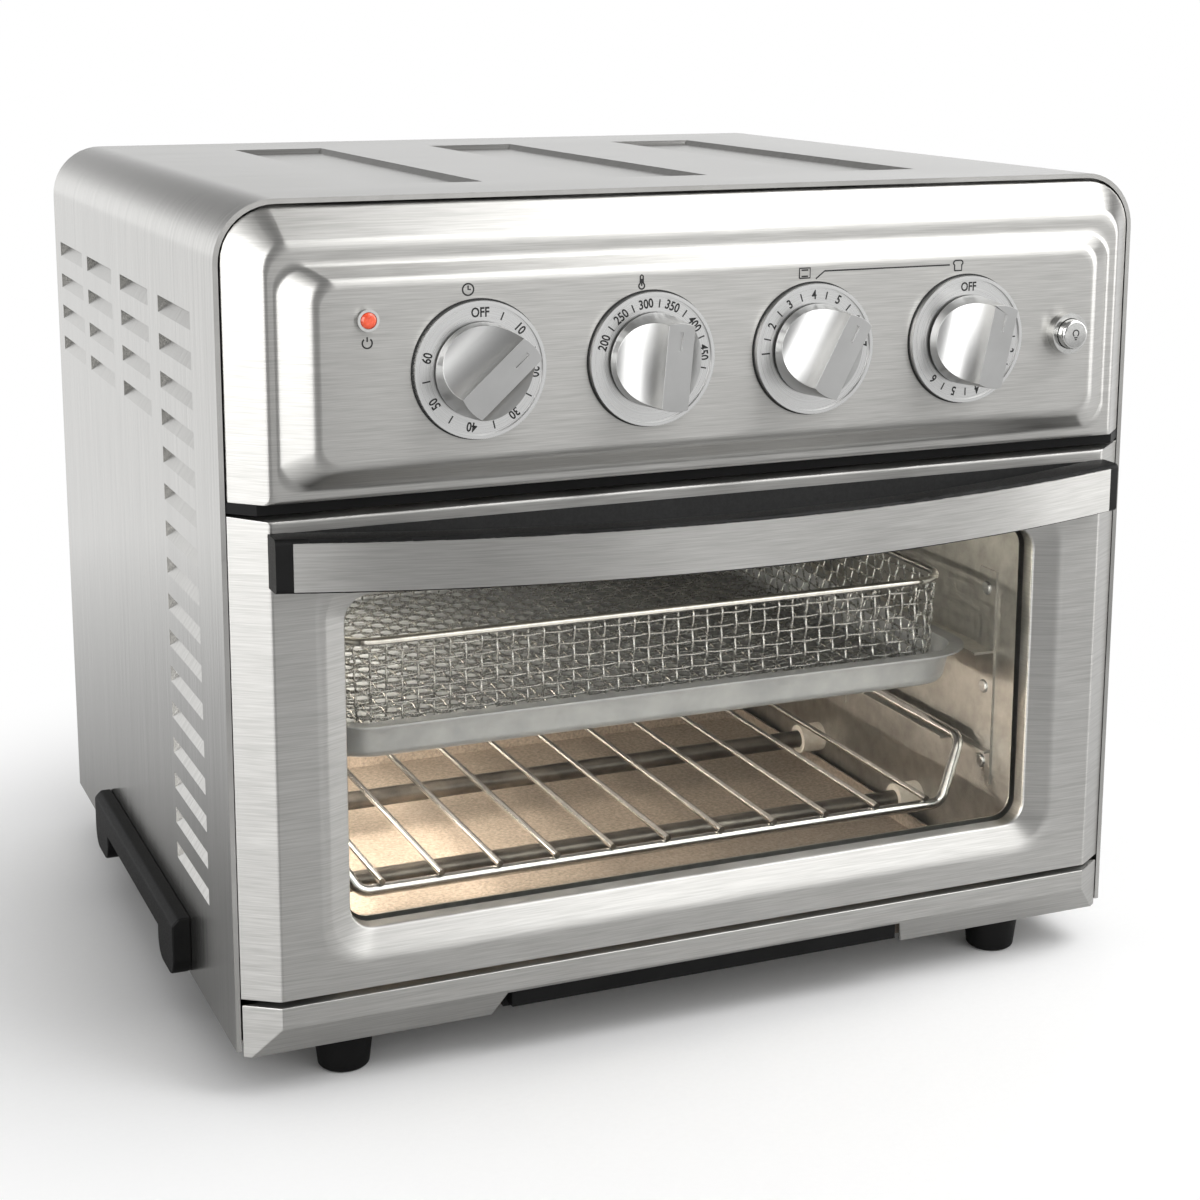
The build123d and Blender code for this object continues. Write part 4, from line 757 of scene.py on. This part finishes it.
def paleFloor(look):
    # white seamless paper: near the oven it takes light and shadow, further out it is plain white
    material, tree = startMaterial("whitePaperFloor")
    place = put(tree, "TexCoord").outputs["Object"]
    away = put(tree, "VectorMath", {0: place}, operation="LENGTH").outputs["Value"]
    fade = put(tree, "MapRange", {"Value": away, "From Min": look["near"], "From Max": look["far"]},
               interpolation_type="SMOOTHSTEP").outputs[0]
    path = put(tree, "LightPath").outputs
    seen = put(tree, "Math", {0: path["Is Camera Ray"], 1: path["Is Glossy Ray"]},
               operation="MAXIMUM").outputs[0]
    seen = put(tree, "Math", {0: seen, 1: path["Is Transmission Ray"]}, operation="MAXIMUM").outputs[0]
    white = put(tree, "Math", {0: fade, 1: seen}, operation="MULTIPLY").outputs[0]
    level = 1.0
    for spot, reach, levels in look["shades"]:
        apart = put(tree, "VectorMath", {0: place, 1: spot}, operation="DISTANCE").outputs["Value"]
        dim = put(tree, "MapRange", {"Value": apart, "From Min": reach[0], "From Max": reach[1],
                                     "To Min": levels[0], "To Max": levels[1]}).outputs[0]
        level = put(tree, "Math", {0: level, 1: dim}, operation="MULTIPLY").outputs[0]
    level = put(tree, "Mix", {0: path["Is Camera Ray"], 2: level, 3: 1.0}).outputs[0]
    fibreScale = perMetre([look["fibreMm"]])[0]
    fibre = put(tree, "TexNoise", {"Vector": place, "Scale": fibreScale, "Detail": 2.0}).outputs[0]
    dark, light = (linear(code) for code in look["paper"])
    tone = put(tree, "Mix", {0: fibre, 6: dark, 7: light}, data_type="RGBA").outputs[2]
    tone = put(tree, "VectorMath", {0: tone, "Scale": level}, operation="SCALE").outputs[0]
    paper = put(tree, "BsdfDiffuse", {"Color": tone}).outputs[0]
    plain = put(tree, "Emission", {"Color": (1, 1, 1, 1), "Strength": level}).outputs[0]
    finishMaterial(tree, put(tree, "MixShader", {0: white, 1: paper, 2: plain}).outputs[0])
    return material


def addFloor(look):
    reach = look["floor"] / 2
    grid = np.linspace(-reach, reach, 2)
    x, y = np.meshgrid(grid, grid)
    points = np.stack([x, y, np.zeros_like(x)], -1).reshape(-1, 3)
    mesh = bpy.data.meshes.new("floor")
    mesh.from_pydata(points.tolist(), [], gridFaces(2, 2, False).tolist())
    mesh.materials.append(paleFloor(look))
    floor = bpy.data.objects.new("floor", mesh)
    scene.collection.objects.link(floor)


def addWorld(look):
    # white for the camera and glass, an even fill for matt surfaces; reflections see a bright horizon behind
    world = bpy.data.worlds.new("studioWorld")
    world.use_nodes = True
    tree = world.node_tree
    tree.nodes.clear()
    direction = put(tree, "SeparateXYZ", {0: put(tree, "TexCoord").outputs["Generated"]}).outputs
    low, high = look["rise"]
    behind = put(tree, "MapRange", {"Value": direction["Z"], "From Min": low, "From Max": high,
                                    "To Min": look["horizon"], "To Max": look["rear"]}).outputs[0]
    start, end = look["turn"]
    back = put(tree, "MapRange", {"Value": direction["Y"], "From Min": start, "From Max": end}).outputs[0]
    level = put(tree, "Mix", {0: back, 2: look["front"], 3: behind}).outputs[0]
    path = put(tree, "LightPath").outputs
    direct = {0: path["Is Camera Ray"], 1: path["Is Transmission Ray"]}
    seen = put(tree, "Math", direct, operation="MAXIMUM").outputs[0]
    level = put(tree, "Mix", {0: path["Is Diffuse Ray"], 2: level, 3: look["fill"]}).outputs[0]
    strength = put(tree, "Mix", {0: seen, 2: level, 3: 1.0}).outputs[0]
    glow = put(tree, "Background", {"Color": (1, 1, 1, 1), "Strength": strength})
    put(tree, "OutputWorld", {"Surface": glow.outputs[0]})
    scene.world = world


softBoxes = {
    "topBox": {"place": (1.2, -0.8, 2.2), "size": (2.0, 1.2), "level": 4.6},
    "keyBox": {"place": (1.3, -2.1, 1.3), "size": (2.0, 1.7), "level": 1.5},
    "leftCard": {"place": (-2.0, -1.05, 0.9), "size": (3.2, 1.8), "level": 3.8, "card": True},
    "rightCard": {"place": (2.2, -0.8, 1.0), "size": (1.1, 2.0), "level": 3.2, "card": True}}


# A soft box of a plain level: 1 looks white. A card shows only in reflections.
def addSoftBox(name, place, size, level, aim=(0.0, 0.0, 0.17), card=False):
    lamp = bpy.data.lights.new(name, "AREA")
    lamp.shape, lamp.size, lamp.size_y = "RECTANGLE", size[0], size[1]
    lamp.energy = level * math.pi * size[0] * size[1]
    obj = bpy.data.objects.new(name, lamp)
    back = np.array(place) - np.array(aim)
    back /= np.linalg.norm(back)
    right = np.cross((0, 0, 1), back)
    right /= np.linalg.norm(right)
    columns = np.stack([right, np.cross(back, right), back, np.array(place)], 1)
    obj.matrix_world = Matrix(np.vstack([columns, [0, 0, 0, 1]]).tolist())
    obj.visible_camera = False
    obj.visible_diffuse = not card
    scene.collection.objects.link(obj)
    return lamp


addFloor(studio)
addWorld(studio)
for name, box in softBoxes.items():
    addSoftBox(name, **box)

# The oven's own lamp behind its cover, and the warm light that it throws on the tray, the pan and the window
ovenLamp = {"place": (-0.146, 0.0625, 0.196), "power": 1.8, "radius": 0.012, "colour": "#fff5e8"}
lamp = bpy.data.lights.new("ovenLamp", "POINT")
lamp.energy, lamp.shadow_soft_size = ovenLamp["power"], ovenLamp["radius"]
lamp.color = linear(ovenLamp["colour"])[:3]
lampObject = bpy.data.objects.new("ovenLamp", lamp)
lampObject.location = ovenLamp["place"]
scene.collection.objects.link(lampObject)
warmBoxes = {
    "trayLamp": {"place": (-0.15, 0.02, 0.092), "size": (0.12, 0.02), "level": 150.0,
                 "aim": (0.0, 0.02, 0.045)},
    "panGlow": {"place": (0.06, 0.01, 0.112), "size": (0.2, 0.1), "level": 0.35, "aim": (0.06, 0.011, 0.0)},
    "windowGlow": {"place": (0.0, -0.127, 0.14), "size": (0.3, 0.12), "level": 0.8, "aim": (0.0, 0.1, 0.13)}}
warmColour = "#fff0e2"
for name, box in warmBoxes.items():
    addSoftBox(name, **box).color = linear(warmColour)[:3]
print("studio lit")

# Camera: measured on the photograph's straight edges; degrees, metres
shot = {"place": (-0.3929, -0.9518, 0.4240), "yaw": 23.064, "pitch": 11.297, "roll": 0.151, "lens": 67.23,
        "sensor": 36.0, "shiftY": -0.12}


def addCamera(look):
    yaw, pitch, roll = (math.radians(look[key]) for key in ("yaw", "pitch", "roll"))
    ahead = np.array([math.sin(yaw) * math.cos(pitch), math.cos(yaw) * math.cos(pitch), -math.sin(pitch)])
    right = np.array([math.cos(yaw), -math.sin(yaw), 0.0])
    up = np.cross(right, ahead)
    tiltedRight = right * math.cos(roll) + up * math.sin(roll)
    tiltedUp = up * math.cos(roll) - right * math.sin(roll)
    columns = np.stack([tiltedRight, tiltedUp, -ahead, np.array(look["place"])], 1)
    camera = bpy.data.cameras.new("photoCamera")
    camera.lens, camera.sensor_width, camera.shift_y = look["lens"], look["sensor"], look["shiftY"]
    obj = bpy.data.objects.new("photoCamera", camera)
    obj.matrix_world = Matrix(np.vstack([columns, [0, 0, 0, 1]]).tolist())
    scene.collection.objects.link(obj)
    scene.camera = obj


addCamera(shot)
scene.view_settings.view_transform = "Standard"
print("camera set")
